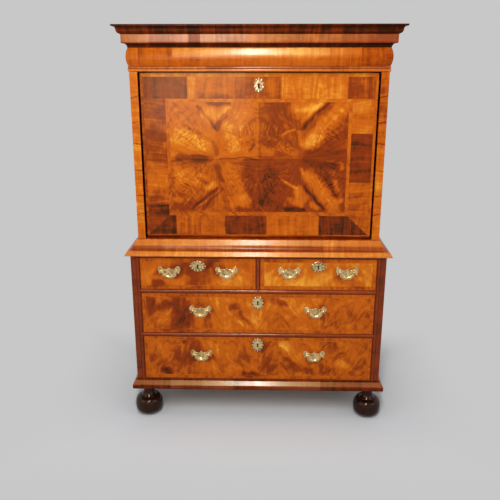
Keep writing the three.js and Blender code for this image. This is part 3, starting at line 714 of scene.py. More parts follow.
@once
def walnut_leaf(n):
    """Walnut for pieces that carry their own map, tone and figure."""
    place = n.add("ShaderNodeUVMap", uv_map="leaf").outputs[0]
    streak, curl, burr = n.parts(n.mark("figure", "Vector"))
    wood = walnut(n, place, n.mark("tone"), Streak=streak, Curl=curl, Burr=burr)
    shader(n, *wood, 0.04, 0.16, 0.12, specular=0.25, sheen=FIBRE)


@once
def walnut_run(n, gloss=0.75, coat=1.0, dull=0.2, bright=0.46):
    """Walnut for mouldings: the map runs along the moulding, with the grain across it. Dark runs shine less."""
    place = n.add("ShaderNodeUVMap", uv_map="leaf").outputs[0]
    tone = n.mark("tone")
    colour, rough, height = walnut(n, place, tone, Streak=0.4, Curl=0.16)
    specular, polish = (n.share(tone, dull, bright, 0.08, most) for most in (gloss, coat))
    shader(n, colour, n.math("ADD", rough, 0.1), height, 0.04, polish, 0.17, specular=specular, sheen=FIBRE)


@once
def walnut_solid(n, tone, order=(0, 2, 1), streak=0.5, coat=0.3):
    """Walnut for plain boards, with the grain along the axis named second in order."""
    wood = walnut(n, n.place(order), tone, Streak=streak, Curl=0.12)
    shader(n, *wood, 0.05, coat, 0.2, specular=0.25, sheen=FIBRE)


@once
def oak(n, order, pale=tint(184, 138, 86)):
    """Unpolished oak for linings: bands, ray flecks and grime along the grain, named second in order."""
    deep, place = tint(140, 94, 52), n.place(order)
    bands = n.noise(n.scaled(place, 26, 1.1, 26), detail=5, roughness=0.62, distortion=0.9)
    fibres = n.noise(n.scaled(place, 480, 9, 480), detail=3, roughness=0.7)
    grime = n.noise(n.scaled(place, 7, 5, 7), detail=4)
    colour = n.mix(n.share(bands, 0.2, 0.8), deep, pale)
    colour = n.mix(n.share(fibres, 0.5, 0.8, 0.0, 0.5), colour, deep)
    colour = n.mix(n.share(grime, 0.5, 0.8, 0.0, 0.35), colour, tint(80, 54, 30))
    shader(n, colour, n.math("MULTIPLY_ADD", fibres, 0.2, 0.6), fibres, 0.12)


@once
def brass(n, wear, age=0.0, pale=False):
    """Cast and chased brass: bright where it is handled, brown in the hollows, lightly pitted."""
    tones, place = settings("brass"), n.place()
    stain = n.noise(n.scaled(place, 120), detail=4, roughness=0.6)
    pits = n.noise(n.scaled(place, 900))
    stained = n.share(stain, 0.45 - age, 0.8 - age, 0.0, 0.85)
    colour = n.mix(stained, tones.pale if pale else tones.bright, tones.dull)
    colour = n.mix(n.share(pits, 0.64, 0.78, 0.0, wear), colour, tint(120, 82, 36))
    colour = n.mix(n.mark("hollow"), colour, tint(74, 48, 20))
    shader(n, colour, n.share(stain, 0.3, 0.7, 0.2, 0.36), pits, 0.02, metal=1.0)


@once
def plain(n, colour, rough, spread=0.2, scale=60, coat=0.0):
    """A finish with slow changes of tone, such as ebonised wood or dark iron."""
    cloud = n.noise(n.scaled(n.place(), scale, scale, scale * 0.4), detail=4, roughness=0.6)
    deep = tuple(v * (1 - spread) for v in colour)
    light = tuple(v * (1 + spread) + 0.004 for v in colour)
    tone = n.mix(n.share(cloud, 0.3, 0.7), deep, light)
    dullness = n.share(cloud, 0.3, 0.7, rough * 0.85, rough * 1.2)
    shader(n, tone, dullness, cloud, 0.02, coat, 0.12, specular=0.3, sheen=(1.0, 0.5, 0.3))


def iron():
    """Dark iron of pins and locks."""
    return plain("dark_iron", tint(26, 20, 14), 0.5)


def post_brass():
    """Bright brass of the parts that hands touch."""
    return brass("brass_bail", 0.2)


# Operators


class ESCRITOIRE_OT_studio(bpy.types.Operator):
    """Camera at the photograph's viewing angle, pale floor and backdrop, and soft lamps"""

    bl_idname = "escritoire.studio"
    bl_label = "Studio"

    def execute(self, context):
        scene, studio = context.scene, settings("studio")
        camera = bpy.data.objects.new("camera", bpy.data.cameras.new("camera"))
        camera.data.lens = studio.lens
        camera.location = studio.place
        camera.rotation_euler = studio.turn
        scene.collection.objects.link(camera)
        scene.camera = camera
        scene.view_settings.view_transform = "Standard"
        self.floor(studio)
        lamps = (  # name, place, aim and size in metres, power
            ("key", (-0.08, -2.5, 2.75), (0.0, 0, 1.1), (0.22, 1.5), studio.key),
            ("window", (-0.5, -2.7, 1.5), (-0.1, 0, 1.4), (0.8, 1.0), studio.window),
            ("fill_left", (-2.6, -2.0, 1.7), (0, 0, 0.8), (1.6, 1.8), studio.fill),
            ("fill_right", (2.6, -2.0, 1.7), (0, 0, 0.8), (1.6, 1.8), studio.fill),
            ("back", (0, 2.4, 2.4), (0, 0, 0.9), (1.8, 1.4), studio.fill),
            ("top", (0, -0.3, 3.4), (0, 0, 0.8), (1.6, 1.6), studio.fill),
        )
        for name, place, aim, size, power in lamps:
            self.lamp(scene, name, np.array(place), np.array(aim), size, power)
        self.surround(scene, studio)
        return {"FINISHED"}

    def lamp(self, scene, name, place, aim, size, power):
        """A flat lamp at a place, turned to its aim."""
        data = bpy.data.lights.new(name, "AREA")
        data.shape = "RECTANGLE"
        data.size, data.size_y = size
        data.energy = power
        item = bpy.data.objects.new(name, data)
        item.location = place
        item.rotation_euler = Vector(aim - place).to_track_quat("-Z", "Y").to_euler()
        scene.collection.objects.link(item)

    def floor(self, studio):
        """Floor that bends up into a round backdrop: a profile of out and up, in metres, carried round the piece.

        Seen by the camera it glows away from the base, and seen in a polished face it glows far away.
        """
        sides, reach, bend = 96, 4, 2
        t = np.linspace(0, math.pi / 2, 24)
        out = np.concatenate([[0.001, 2.5], reach + bend * np.sin(t), [reach + bend]])
        up = np.concatenate([[0, 0], bend - bend * np.cos(t), [6.0]])
        angle = np.linspace(0, 2 * math.pi, sides, endpoint=False)
        points = np.stack(np.broadcast_arrays(
            out[:, None] * np.cos(angle), out[:, None] * np.sin(angle), up[:, None],
        ), -1)
        item = build("backdrop", points.reshape(-1, 3) / MM, grid_faces(len(out), sides, wrap_columns=True))
        item.data.shade_smooth()
        made, n = material("pale_paper")
        grain = n.noise(n.scaled(n.place(), 3), detail=3)
        paper = n.mix(n.share(grain, 0.3, 0.7, 0.0, 0.04), tuple(studio.floor), (0.5, 0.5, 0.5))
        path = n.add("ShaderNodeLightPath")
        sight = path.outputs["Is Camera Ray"]
        diffuse = n.add("ShaderNodeBsdfDiffuse", {"Color": n.mix(sight, paper, (0.8, 0.82, 0.84))})
        glow = n.add("ShaderNodeEmission", {"Color": paper, "Strength": 1.0})
        x, y, _ = n.parts(n.place())
        distance = n.math("SQRT", n.math("MULTIPLY_ADD", x, x, n.math("MULTIPLY", y, y)))
        bounce = n.math("MAXIMUM", path.outputs["Is Glossy Ray"], path.outputs["Is Transmission Ray"])
        bounce = n.math("MULTIPLY", bounce, n.share(distance, 0.85, 2.2))
        beside = n.math("SUBTRACT", n.math("ABSOLUTE", x), BASE_HALF * MM)
        before = n.math("ADD", n.math("ABSOLUTE", y), BASE_FRONT * MM)
        away = n.share(n.math("MAXIMUM", beside, before), 0.02, 0.5)
        seen = n.math("MAXIMUM", n.math("MULTIPLY", sight, away), bounce)
        rays = n.add("ShaderNodeMixShader", {0: seen, 1: diffuse.outputs[0], 2: glow.outputs[0]})
        n.add("ShaderNodeOutputMaterial", {"Surface": rays.outputs[0]})
        item.data.materials.append(made)

    def surround(self, scene, studio):
        """Even pale light from all round."""
        world = bpy.data.worlds.new("surround")
        world.use_nodes = True
        n = Nodes(world.node_tree)
        light = n.add("ShaderNodeBackground", {"Color": (1.0, 1.0, 1.0), "Strength": studio.sky})
        n.add("ShaderNodeOutputWorld", {"Surface": light.outputs[0]})
        scene.world = world


class ESCRITOIRE_OT_carcase(bpy.types.Operator):
    """Case sides with their stiles and beads, rails, backs and boards"""

    bl_idname = "escritoire.carcase"
    bl_label = "Carcase"

    def execute(self, context):
        for side, sign in LEFT_RIGHT:
            self.upper_side(side, sign)
            self.base_side(side, sign)
        self.beads()
        linings = {
            "base_top_board": (1, 0, 2), "base_bottom_board": (1, 0, 2), "base_back": (1, 2, 0),
            "upper_back": (0, 2, 1), "frieze_board": (1, 0, 2), "frieze_drawer_box": (1, 0, 2),
        }
        for name, order in linings.items():
            dress(name, oak("lining_" + name, order))
        for name in ("short_drawer_left_box", "short_drawer_right_box", "middle_drawer_box", "lower_drawer_box"):
            dress(name, oak("lining_drawers", (2, 0, 1), DRAWER_OAK))
        for name in ("dust_board_lower", "dust_board_upper", "upper_floor"):
            dress(name, walnut_solid("walnut_rails", 0.36, (2, 0, 1)))
        return {"FINISHED"}

    def upper_side(self, side, sign):
        """Board and pilaster in one plan carried up, with veneer leaves on the front and the outside."""
        low, high = box_mm("upper_side_" + side)
        veneer = settings("walnut").thickness
        inner = min(abs(low[0]), abs(high[0]))
        outer, front, back = UPPER_HALF - veneer, UPPER_FRONT + veneer, high[1]
        board, pilaster = outer - 21.4, front + 44.4
        plan = [(outer, front), (outer, back), (board, back), (board, pilaster), (inner, pilaster), (inner, front)]
        core = extruded("upper_core_" + side, [(sign * x, y) for x, y in plan], 2, (low[2], ASTRAGAL_FOOT - 0.3))
        head = block("upper_head_" + side, (sign * board, sign * (UPPER_HALF - 12.3)), (front + 12, back),
                     (ASTRAGAL_FOOT - 4, high[2]))
        core = joined("upper_side_%s_board" % side, [core, head])
        # The core is near black; it shows in the reveal beside the fall, where its tone is painted shade.
        finish(core, "root", walnut_solid("walnut_core", 0.06, coat=0.1), ["upper_side_" + side])
        shown = (WAIST_TOP + CLEAR, ASTRAGAL_FOOT - 2 * CLEAR)
        joints = np.linspace(*shown, 8) + [0, 6, -5, 4, 8, -6, 3, 0]
        leaves = [
            oblong(*sorted((sign * inner, sign * UPPER_HALF)), joints[k], joints[k + 1], 90, tone, (0.45, 0.25, 0.1),
                   home=(410 * k, 0), cell=1.6)
            for k, tone in enumerate(PILASTER_TONES[side])
        ]
        seams = [(sign * inner - 40, z, sign * inner + 40, z + 2.5, 1.6, -0.34) for z in joints[1:-1]]
        veneered("upper_stile_%s_veneer" % side, leaves, facing_front(UPPER_FRONT), "root", seams)
        self.case_side("upper_side_%s_veneer" % side, sign * UPPER_HALF, UPPER_FRONT, shown)

    def case_side(self, name, x, front, levels):
        """Veneer of a case's outside: three wide leaves with upright grain inside a cross band."""
        edges = (front + 0.7, CASE_BACK, *levels)
        y0, y1, z0, z1 = inner = inset(edges, 26)
        leaves = mitred_leaves(edges, inner, (0, 90, 0, 90), (0.5, 0.46, 0.52, 0.5), (0.45, 0.2, 0.1))
        joints = np.linspace(y0, y1, 4)
        for k, odd in enumerate((0, 1, 0)):
            leaves.append(oblong(joints[k], joints[k + 1], z0, z1, 0, 0.5 + 0.04 * odd, (0.6, 0.28, 0.12),
                                 flip=(1 - 2 * odd, 1), home=(joints[k + odd], levels[0]), cell=60))
        veneered(name, leaves, facing_side(x), "root")

    def base_side(self, side, sign):
        """Board, stile and half-round bead in one plan carried up."""
        low, high = box_mm("base_side_" + side)
        outer, front = BASE_HALF - settings("walnut").thickness, BASE_FRONT
        inner, board, head = min(abs(low[0]), abs(high[0])), outer - 19.4, PLINTH_TOP + CLEAR
        plan = [(outer - 0.8, front), (outer, front + 0.8), (outer, CASE_BACK), (board, CASE_BACK)]
        bead = [(inner + 6 - 6 * math.cos(a), front - 4 * math.sin(a)) for a in np.linspace(0, math.pi, 17)]
        groove = [(inner + 12.8, front + 0.9), (inner + 13.6, front)]
        stile = plan + [(board, front + 25), (inner, front + 25)] + bead + groove
        foot = plan + [(board, front + 1), (outer - 12, front)]
        parts = [
            extruded("base_part_" + side, [(sign * x, y) for x, y in outline], 2, span)
            for outline, span in ((stile, (head, high[2])), (foot, (low[2], head)))
        ]
        finish(joined("base_side_%s_board" % side, parts), "root",
               walnut_solid("walnut_stile", 0.2, streak=0.16, coat=0.4), ["base_side_" + side])
        self.case_side("base_side_%s_veneer" % side, sign * BASE_HALF, BASE_FRONT, (head, WAIST_FOOT - CLEAR))

    def beads(self):
        """Half-round beads on the rails, the divider and the top board."""
        half = -box_mm("base_side_left")[1][0] - 0.3
        for name in ("lower", "upper"):
            middle = levels_mm("dust_board_" + name)[0] + 6.5
            self.bead("rail_bead_" + name, 0, (-half, half), (0.5, 4.6), (middle, 6.5))
        foot, head = levels_mm("dust_board_upper")
        self.bead("divider_bead", 2, (foot + 12, head), (0.5, 4.6), (0, 6))
        middle = levels_mm("base_top_board")[0] + 4.4
        self.bead("head_bead", 0, (-half - 30, half + 30), (0.4, 3.2), (middle, 4.3))

    def bead(self, name, axis, span, out, across):
        """Half an ellipse carried along an axis. out and across give its middle and its reach each way."""
        angle = np.linspace(0, math.pi, 17)
        section = [BASE_FRONT + out[0] - out[1] * np.sin(angle), across[0] - across[1] * np.cos(angle)]
        if axis == 2:
            section.reverse()
            wood = walnut_solid("walnut_bead_upright", 0.24, coat=0.6)
        else:
            wood = walnut_solid("walnut_bead", 0.26, (2, 0, 1), coat=0.6)
        finish(extruded(name, np.stack(section, -1), axis, span), "root", wood)


PILASTER_TONES = {
    "left": (0.6, 0.66, 0.62, 0.66, 0.58, 0.62, 0.58), "right": (0.6, 0.6, 0.66, 0.6, 0.5, 0.44, 0.46),
}


class ESCRITOIRE_OT_mouldings(bpy.types.Operator):
    """Cornice, astragal and cushion frieze, waist and plinth mouldings in cross-grain walnut"""

    bl_idname = "escritoire.mouldings"
    bl_label = "Mouldings"

    def execute(self, context):
        runs = settings("moulding")
        self.cornice(runs)
        self.frieze(runs)
        self.waist(runs)
        self.plinth(runs)
        return {"FINISHED"}

    def tongued(self, section, head, foot, reach=-12):
        """A profile closed by a tongue into the case, or by a plain back where the reach is small."""
        return np.vstack([section, [[reach, head], [reach, foot]]])

    def cornice(self, runs):
        # Tone of each stretch: the cove and the flat underside at the foot, under the fascia, are painted darkest:
        # painted shade.
        rows = [
            (0.04, 0.02, 0), (0.04, 0.05, 0.17, 0.3, 0.19), (0.12, 0.4, 0.19), (0.3, 0.42, 0.25), (0.4, 0.42, 0.575),
            (0.14, 0.49, 0.6), (0.12, 0.69, 0.64, 0.7, 0.77), (0.08, 0.72, 0.91, 0.92, 0.925), (0.1, 1, 0.925),
            (0.08, 1, 1),
        ]
        section, tones = profile(rows, 48.6, CORNICE_TOP - CORNICE_FOOT, CORNICE_FOOT, runs.steps)
        section = self.tongued(section, CORNICE_TOP, CORNICE_FOOT)
        front_blocks = (
            [-UPPER_HALF, -474, -402, -300, -259, -216, -160, -60, 60, 108, 205, 300, 400, UPPER_HALF],
            [0.0, 0.05, -0.03, 0.03, -0.1, 0.04, 0.0, 0.06, 0.05, 0.0, 0.02, -0.02, -0.06],
        )
        ring = mitred_run("cornice_moulding", section, tones, UPPER_HALF, UPPER_FRONT, 3, runs, front_blocks)
        board = block("cornice_board", (-UPPER_HALF + 8, UPPER_HALF - 8), (UPPER_FRONT + 8, CASE_BACK),
                      (CORNICE_TOP - 20, CORNICE_TOP - 0.3))
        finish(ring, "root", walnut_run(), ["cornice"])
        finish(soften(board, 1), "root", oak("lining_top", (1, 0, 2)))

    def frieze(self, runs):
        rows = [
            (0.5, 0.15, 0), (0.5, 1.05, 0.02, 1, 0.25), (0.5, 0.95, 0.48, 0.3, 0.5), (0.36, 0.8, 0.6, 0.75, 0.75),
            (0.36, 0.7, 0.95, 0.12, 1),
        ]
        head = CUSHION_FOOT - 0.3
        section, tones = profile(rows, 4, head - ASTRAGAL_FOOT, ASTRAGAL_FOOT, runs.steps)
        section = self.tongued(section, head, ASTRAGAL_FOOT)
        lower = mitred_run("astragal", section, tones, UPPER_HALF, UPPER_FRONT, 17, runs)
        finish(lower, "root", walnut_run("walnut_round", gloss=0.55, coat=0.5), ["frieze_surround"])
        section, rise = self.cushion_section(runs.steps)
        for side, sign in LEFT_RIGHT:
            self.cushion_side(side, sign, section, rise, runs)
        self.cushion_front(section, rise)

    def cushion_section(self, steps):
        """Half of a flattened round: two quadratic curves that meet at the fullest point, and marks of 0 to 1 that
        rise over its upper half; they paint the upper half lighter, as painted light.
        """
        foot, head = CUSHION_FOOT, CUSHION_TOP
        rows = [(0, 0.06, 0), (0, 1, 0.25, 1, 0.5), (0, 1, 0.75, 0.06, 1)]
        section, _ = profile(rows, 8, head - foot, foot, 2 * steps)
        middles = (section[:-1, 1] + section[1:, 1]) / 2
        rise = np.interp((middles - foot) / (head - foot), [0.4, 0.64], [0, 1])
        return self.tongued(section, head, foot), rise

    def cushion(self, name, joints, tones, section, shift, place):
        """Cross-grain blocks between joints, with the outline that place gives at a joint, in the palest polish."""
        count, around = len(section), lengths(closed(section))
        rings, faces, uv = [], [], []
        for k in range(len(tones)):
            ends = joints[k : k + 2]
            faces.append(grid_faces(2, count, wrap_columns=True) + len(rings) * count)
            rings += [place(end) for end in ends]
            uv.append(grid_uv(ends + shift * k, around))
        item = run_of_blocks(name, rings, faces, uv, tones, (0, (len(rings) - 1) * count))
        polish = walnut_run("walnut_cushion", gloss=0.8, coat=0.65, dull=0.42, bright=0.68)
        return item, polish

    def cushion_side(self, side, sign, section, rise, runs):
        """Side of the cushion frieze, mitred at the front against the drawer's front."""
        out, up = section.T
        joints, block_tones = blocks(UPPER_FRONT, CASE_BACK, 29 + sign, runs)

        def place(end):
            slide = end - out if end == joints[0] else end + 0 * out
            return np.stack([sign * (UPPER_HALF + out), slide, up], -1)

        hidden = [HIDDEN_TONE] * (len(section) - len(rise))
        # The upper half is painted 0.12 lighter than the foot: painted light.
        tones = [np.append(0.44 + 0.12 * rise, hidden) + tone for tone in block_tones]
        item, polish = self.cushion("cushion_" + side, joints, tones, section, 97.0, place)
        finish(item, "root", polish)

    def cushion_front(self, section, rise):
        """Front of the shallow drawer, mitred into the sides and laid with cross-grain blocks."""
        gap = 0.6
        joints = np.array([-UPPER_HALF, -452, -323, -236, -134, -48, 50, 128, 221, 262, 330, 381, UPPER_HALF])
        # Tone of each block at the foot and on its upper half; the upper half is painted lighter: painted light.
        lower = [0.49, 0.48, 0.47, 0.49, 0.49, 0.51, 0.51, 0.51, 0.49, 0.46, 0.44, 0.38]
        upper = [0.48, 0.45, 0.6, 0.64, 0.62, 0.67, 0.69, 0.7, 0.68, 0.54, 0.51, 0.42]
        out, up = section.T
        up = np.clip(up, up.min() + 0.3, up.max())

        def place(end):
            slide = end + math.copysign(1, end) * (out - gap) * (abs(end) == UPPER_HALF)
            return np.stack([slide, UPPER_FRONT - out, up], -1)

        hidden = [HIDDEN_TONE] * (len(section) - len(rise))
        tones = [np.append(foot + (head - foot) * rise, hidden) for foot, head in zip(lower, upper)]
        item, polish = self.cushion("frieze_drawer_cushion", joints, tones, section, 131.0, place)
        finish(item, "frieze_drawer", polish, ["frieze_drawer_front"])

    def waist(self, runs):
        # Tone of each stretch: the slope and the slanted face above the foot, which catch the lamp, are painted
        # lighter, and the cove between them is painted darker: painted light and shade.
        rows = [
            (0.4, 0.96, 0), (0.5, 1, 0, 1, 0.03), (0.6, 0.985, 0.055), (0.62, 0.825, 0.28), (0.6, 0.81, 0.3),
            (0.5, 0.78, 0.325, 0.64, 0.33), (0.28, 0.6, 0.35), (0.33, 0.42, 0.38, 0.37, 0.58), (0.54, 0.31, 0.595),
            (0.5, 0.3, 0.65), (0.56, 0.18, 0.83, 0.1, 0.96), (0.44, 0.09, 1, 0.02, 1),
        ]
        lip = -box_mm("waist_moulding")[0][0] - UPPER_HALF
        section, tones = profile(rows, lip, WAIST_TOP - WAIST_FOOT, WAIST_FOOT, runs.steps)
        lap = BASE_HALF - UPPER_HALF + 0.3
        seat = levels_mm("base_top_board")[1] + 0.3
        section = np.vstack([self.tongued(section, WAIST_TOP, seat, 0.3), [[lap, seat], [lap, WAIST_FOOT]]])
        item = mitred_run("waist_run", section, tones, UPPER_HALF, UPPER_FRONT, 41, runs)
        finish(item, "root", walnut_run("walnut_round", gloss=0.55, coat=0.5), ["waist_moulding"])

    def plinth(self, runs):
        # Tone of each stretch: darkest at the foot and in the cove at the top, lightest on the slanted face that
        # catches the lamp: painted shade and light.
        rows = [
            (0.14, 0.9, 0), (0.14, 1, 0.02, 1, 0.12), (0.18, 1, 0.38), (0.22, 1, 0.44, 0.95, 0.475),
            (0.25, 0.92, 0.492), (0.27, 0.35, 0.81), (0.27, 0.32, 0.825), (0.22, 0.29, 0.84, 0.28, 0.86),
            (0.14, 0.27, 1),
        ]
        lip = -box_mm("plinth_moulding")[0][0] - BASE_HALF
        section, tones = profile(rows, lip, PLINTH_TOP - PLINTH_FOOT, PLINTH_FOOT, runs.steps)
        section = self.tongued(section, PLINTH_TOP, PLINTH_FOOT, 0.3)
        item = mitred_run("plinth_run", section, tones, BASE_HALF, BASE_FRONT, 53, runs)
        shine = walnut_run("walnut_plinth", gloss=0.8, coat=0.9, dull=0.14, bright=0.3)
        finish(item, "root", shine, ["plinth_moulding"])


class ESCRITOIRE_OT_fall(bpy.types.Operator):
    """The writing fall: its panel, quartered veneer, lip, leather and pivots"""

    bl_idname = "escritoire.fall"
    bl_label = "Fall front"

    def execute(self, context):
        self.panel()
        self.front()
        self.inside()
        return {"FINISHED"}

    def panel(self):
        """A slab whose foot is half a round about the pivot line, with a pin at each end."""
        veneer = settings("walnut").thickness
        front, back = FALL_LOW[1] + veneer, FALL_HIGH[1] - veneer
        depth, height = FALL_PIVOT
        rim = [(np.clip(depth - FALL_RADIUS * math.cos(a), front, back), height - FALL_RADIUS * math.sin(a))
               for a in np.linspace(0, math.pi, 25)]
        outline = rim + [(back, FALL_HIGH[2]), (front, FALL_HIGH[2])]
        slab = extruded("fall_slab", outline, 0, (-FALL_HALF, FALL_HALF))
        finish(soften(slab, 0.5), "fall", walnut_solid("walnut_slab", 0.34, (2, 0, 1)), ["fall_panel"])
        rows = [(0, 0), (4, 0), (4, 16.6), (3.4, 17.5), (0, 17.5)]
        pins = [
            turned("fall_pin_" + side, rows, (sign * (FALL_HALF - 0.1), depth, height), 0, 32, sign)
            for side, sign in LEFT_RIGHT
        ]
        finish(joined("fall_pins", pins), "fall", iron())

    def front(self):
        """Quartered leaves inside a pale feather line and a cross-grain band of blocks, with a lip outside."""
        fall = settings("fall")
        figure = (0.5, 0.2, 0.12)
        lipped = (10 - FALL_HALF, FALL_HALF - 10, 819.0, FALL_HIGH[2] - fall.lip)
        banded = (-360, 360, 898.0, 1358.0)
        feathered = (fall.feather - 360, 360 - fall.feather, 913.5, 1358 - fall.feather)
        leaves = mitred_leaves(FALL_VENEER, lipped, (0, 90, 0, 90), (0.5, 0.54, 0.62, 0.38), figure)
        rows = (("top", lipped[3], banded[3], lipped[1]), ("bottom", lipped[2], banded[2], banded[1]))
        for level, outer, inner, reach in rows:
            for x0, x1, tone in FALL_BANDS[level]:
                x0, x1 = max(x0, lipped[0]), min(x1, lipped[1])
                corners = [(x0, outer), (x1, outer), (min(x1, reach), inner), (max(x0, -reach), inner)]
                leaves.append(leaf(corners, 0, tone, figure, cell=40))
        for side, sign in LEFT_RIGHT:
            near, far = sign * banded[1], sign * lipped[1]
            for z0, z1, tone in FALL_BANDS[side]:
                corners = [(near, z0), (far, lipped[2] if z0 == banded[2] else z0), (far, z1), (near, z1)]
                leaves.append(leaf(corners[::sign], 90, tone, figure, cell=40))
        leaves += mitred_leaves(banded, feathered, (45, 45, -45, -45), (0.5, 0.54, 0.58, 0.5), figure)
        seam = 1128.0
        for side, focus, upper, lower in ((-1, -166.0, 0.54, 0.43), (1, 165.0, 0.38, 0.31)):
            x0, x1 = sorted((0, side * feathered[1]))
            for z0, z1, tone in ((seam, feathered[3], upper), (feathered[2], seam, lower)):
                leaves.append(oblong(x0, x1, z0, z1, 0, tone, (0.5, 0.62, 0.16), home=(focus, seam), flip=(-side, 1),
                                     cell=3, fan=True))
        veneered("fall_veneer", leaves, facing_front(FALL_LOW[1]), "fall", FALL_MARKS)

    def inside(self):
        """Writing leather in a mitred walnut margin on the inner face."""
        edges = inset(FALL_VENEER, 52)
        leaves = mitred_leaves(FALL_VENEER, edges, (90, 0, 90, 0), (0.5, 0.52, 0.5, 0.48), (0.5, 0.2, 0.1))
        veneered("fall_margin", leaves, facing_back(FALL_HIGH[1]), "fall")
        skin = [oblong(*edges, 0, 0.5, (0, 0, 0), cell=20)]
        sheet = leaf_sheet("writing_leather", skin, facing_back(FALL_HIGH[1] - 0.1))
        finish(sheet, "fall", self.leather(*(edge * MM for edge in edges[1:])))

    def leather(self, x, z0, z1):
        """Grained hide with a double gilt line a little inside its edge."""
        made, n = material("green_hide")
        place, colour = n.place(), tuple(settings("fall").leather)
        cells = n.add("ShaderNodeTexVoronoi", {"Vector": n.scaled(place, 620), "Scale": 1.0})
        grain = n.share(cells.outputs["Distance"], 0.1, 0.7)
        cloud = n.noise(n.scaled(place, 9), detail=4)
        across, _, up = n.parts(place)
        side = n.math("SUBTRACT", x, n.math("ABSOLUTE", across))
        edge = n.math("MINIMUM", side, n.math("MINIMUM", n.math("SUBTRACT", up, z0), n.math("SUBTRACT", z1, up)))
        broad, fine = n.math("COMPARE", edge, 0.012, 0.0016), n.math("COMPARE", edge, 0.018, 0.0006)
        worn = n.math("MULTIPLY", n.math("MAXIMUM", broad, fine), n.share(cloud, 0.3, 0.5, 0.35, 1.0))
        hide = n.mix(n.share(cloud, 0.35, 0.7), colour, tuple(v * 0.6 for v in colour))
        hide = n.mix(worn, hide, tint(206, 164, 84))
        shader(n, hide, n.share(cloud, 0.3, 0.7, 0.5, 0.38), grain, 0.12)
        return made


# From, to and tone of the blocks in each band of the fall
FALL_BANDS = {
    "top": [(-444, -274, 0.24), (-274, -239, 0.6), (-239, -90, 0.5), (-90, 86, 0.4), (86, 272, 0.61),
            (272, 340, 0.62), (340, 444, 0.4)],
    "bottom": [(-444, -333, 0.14), (-333, -134, 0.47), (-134, 34, 0.2), (34, 245, 0.52), (245, 444, 0.14)],
    "left": [(898, 942, 0.26), (942, 1116, 0.48), (1116, 1316, 0.38), (1316, 1358, 0.36)],
    "right": [(898, 1035, 0.47), (1035, 1227, 0.22), (1227, 1358, 0.58)],
}
# Strokes: from and to, each across and up, then width and tone
FALL_MARKS = [
    (-188, 1345, -128, 1345, 17, -0.3), (-232, 1330, -172, 1252, 7, -0.24), (-166, 1248, -112, 1310, 11, -0.26),
    (-200, 1296, -140, 1292, 24, 0.16), (-128, 1322, -116, 1312, 14, 0.2), (-300, 1258, -186, 1196, 8, -0.14),
    (-310, 1216, -220, 1186, 40, 0.16), (-118, 1250, -96, 1170, 26, 0.16), (-70, 1262, -56, 1310, 26, 0.12),
    (-30, 1320, -20, 1150, 24, -0.06), (-318, 1127, -210, 1128, 15, -0.26), (-246, 1138, -190, 1140, 18, -0.12),
    (-146, 1129, -10, 1127, 2.6, -0.24), (-42, 1158, -18, 1178, 5, -0.24), (-320, 1330, -250, 1290, 34, -0.04),
    (-124, 1236, -84, 1224, 4, -0.14), (-176, 1190, -164, 1150, 9, -0.14), (-326, 1082, -318, 1030, 15, 0.16),
    (-296, 1062, -236, 1050, 30, 0.14), (-206, 1014, -184, 1024, 16, 0.26), (-172, 1006, -262, 926, 8, -0.24),
    (-150, 1002, -216, 922, 6, -0.16), (-240, 1050, -206, 1028, 9, -0.16), (-160, 1100, -146, 1040, 12, -0.14),
    (-34, 1100, -14, 960, 30, -0.16), (-116, 1080, -80, 1000, 32, 0.1), (-90, 958, -50, 970, 24, 0.14),
    (-80, 926, -14, 922, 14, -0.16), (-200, 950, -330, 930, 24, -0.1), (-206, 958, -262, 922, 5, 0.16),
    (40, 1326, 90, 1322, 34, -0.08), (100, 1318, 118, 1262, 12, -0.06), (60, 1260, 60, 1200, 34, -0.06),
    (150, 1330, 226, 1334, 22, 0.26), (160, 1304, 214, 1312, 22, 0.16), (170, 1272, 236, 1340, 8, 0.16),
    (168, 1244, 272, 1344, 7, -0.26), (196, 1190, 318, 1322, 27, 0.26), (184, 1176, 220, 1210, 18, 0.12),
    (200, 1150, 330, 1150, 20, -0.16), (276, 1186, 336, 1226, 30, -0.08), (92, 1226, 136, 1246, 5, 0.2),
    (150, 1236, 166, 1180, 8, 0.16), (24, 1164, 56, 1160, 14, 0.1), (80, 1180, 150, 1150, 16, 0.08),
    (190, 1116, 306, 1100, 18, -0.14), (170, 1086, 176, 1074, 9, 0.24), (200, 1058, 298, 934, 26, 0.28),
    (176, 1022, 262, 922, 6, -0.24), (88, 1040, 146, 1014, 5, 0.28), (156, 1004, 176, 976, 22, 0.24),
    (136, 962, 176, 946, 13, 0.2), (216, 950, 236, 926, 10, 0.2), (44, 1068, 46, 980, 36, -0.12),
    (306, 1034, 326, 960, 12, 0.2), (270, 1070, 316, 976, 14, -0.16), (110, 930, 190, 926, 10, -0.22),
    (316, 1116, 330, 1090, 8, 0.14), (20, 950, 80, 930, 24, -0.1),
    (-212, 858, -212, 858, 3, -0.4), (-238, 874, -206, 852, 2.2, -0.3), (-420, 1330, -380, 1290, 26, -0.05),
    (-404, 1230, -384, 1200, 20, -0.12), (-436, 1318, -362, 1316, 3, -0.12), (-430, 1118, -362, 1110, 3, -0.2),
    (-400, 1080, -380, 1050, 26, 0.1), (-410, 960, -380, 925, 26, -0.18), (-436, 1040, -366, 1036, 3, -0.12),
    (60, 1400, 200, 1402, 24, 0.05), (250, 1404, 262, 1394, 5, -0.16), (372, 1290, 430, 1286, 4, -0.14),
    (352, 1400, 440, 1360, 18, -0.08), (372, 1000, 436, 1012, 4, -0.16), (372, 1330, 438, 1330, 5, 0.12),
    (372, 1310, 438, 1308, 4, 0.12), (372, 1250, 438, 1254, 5, 0.1),
]


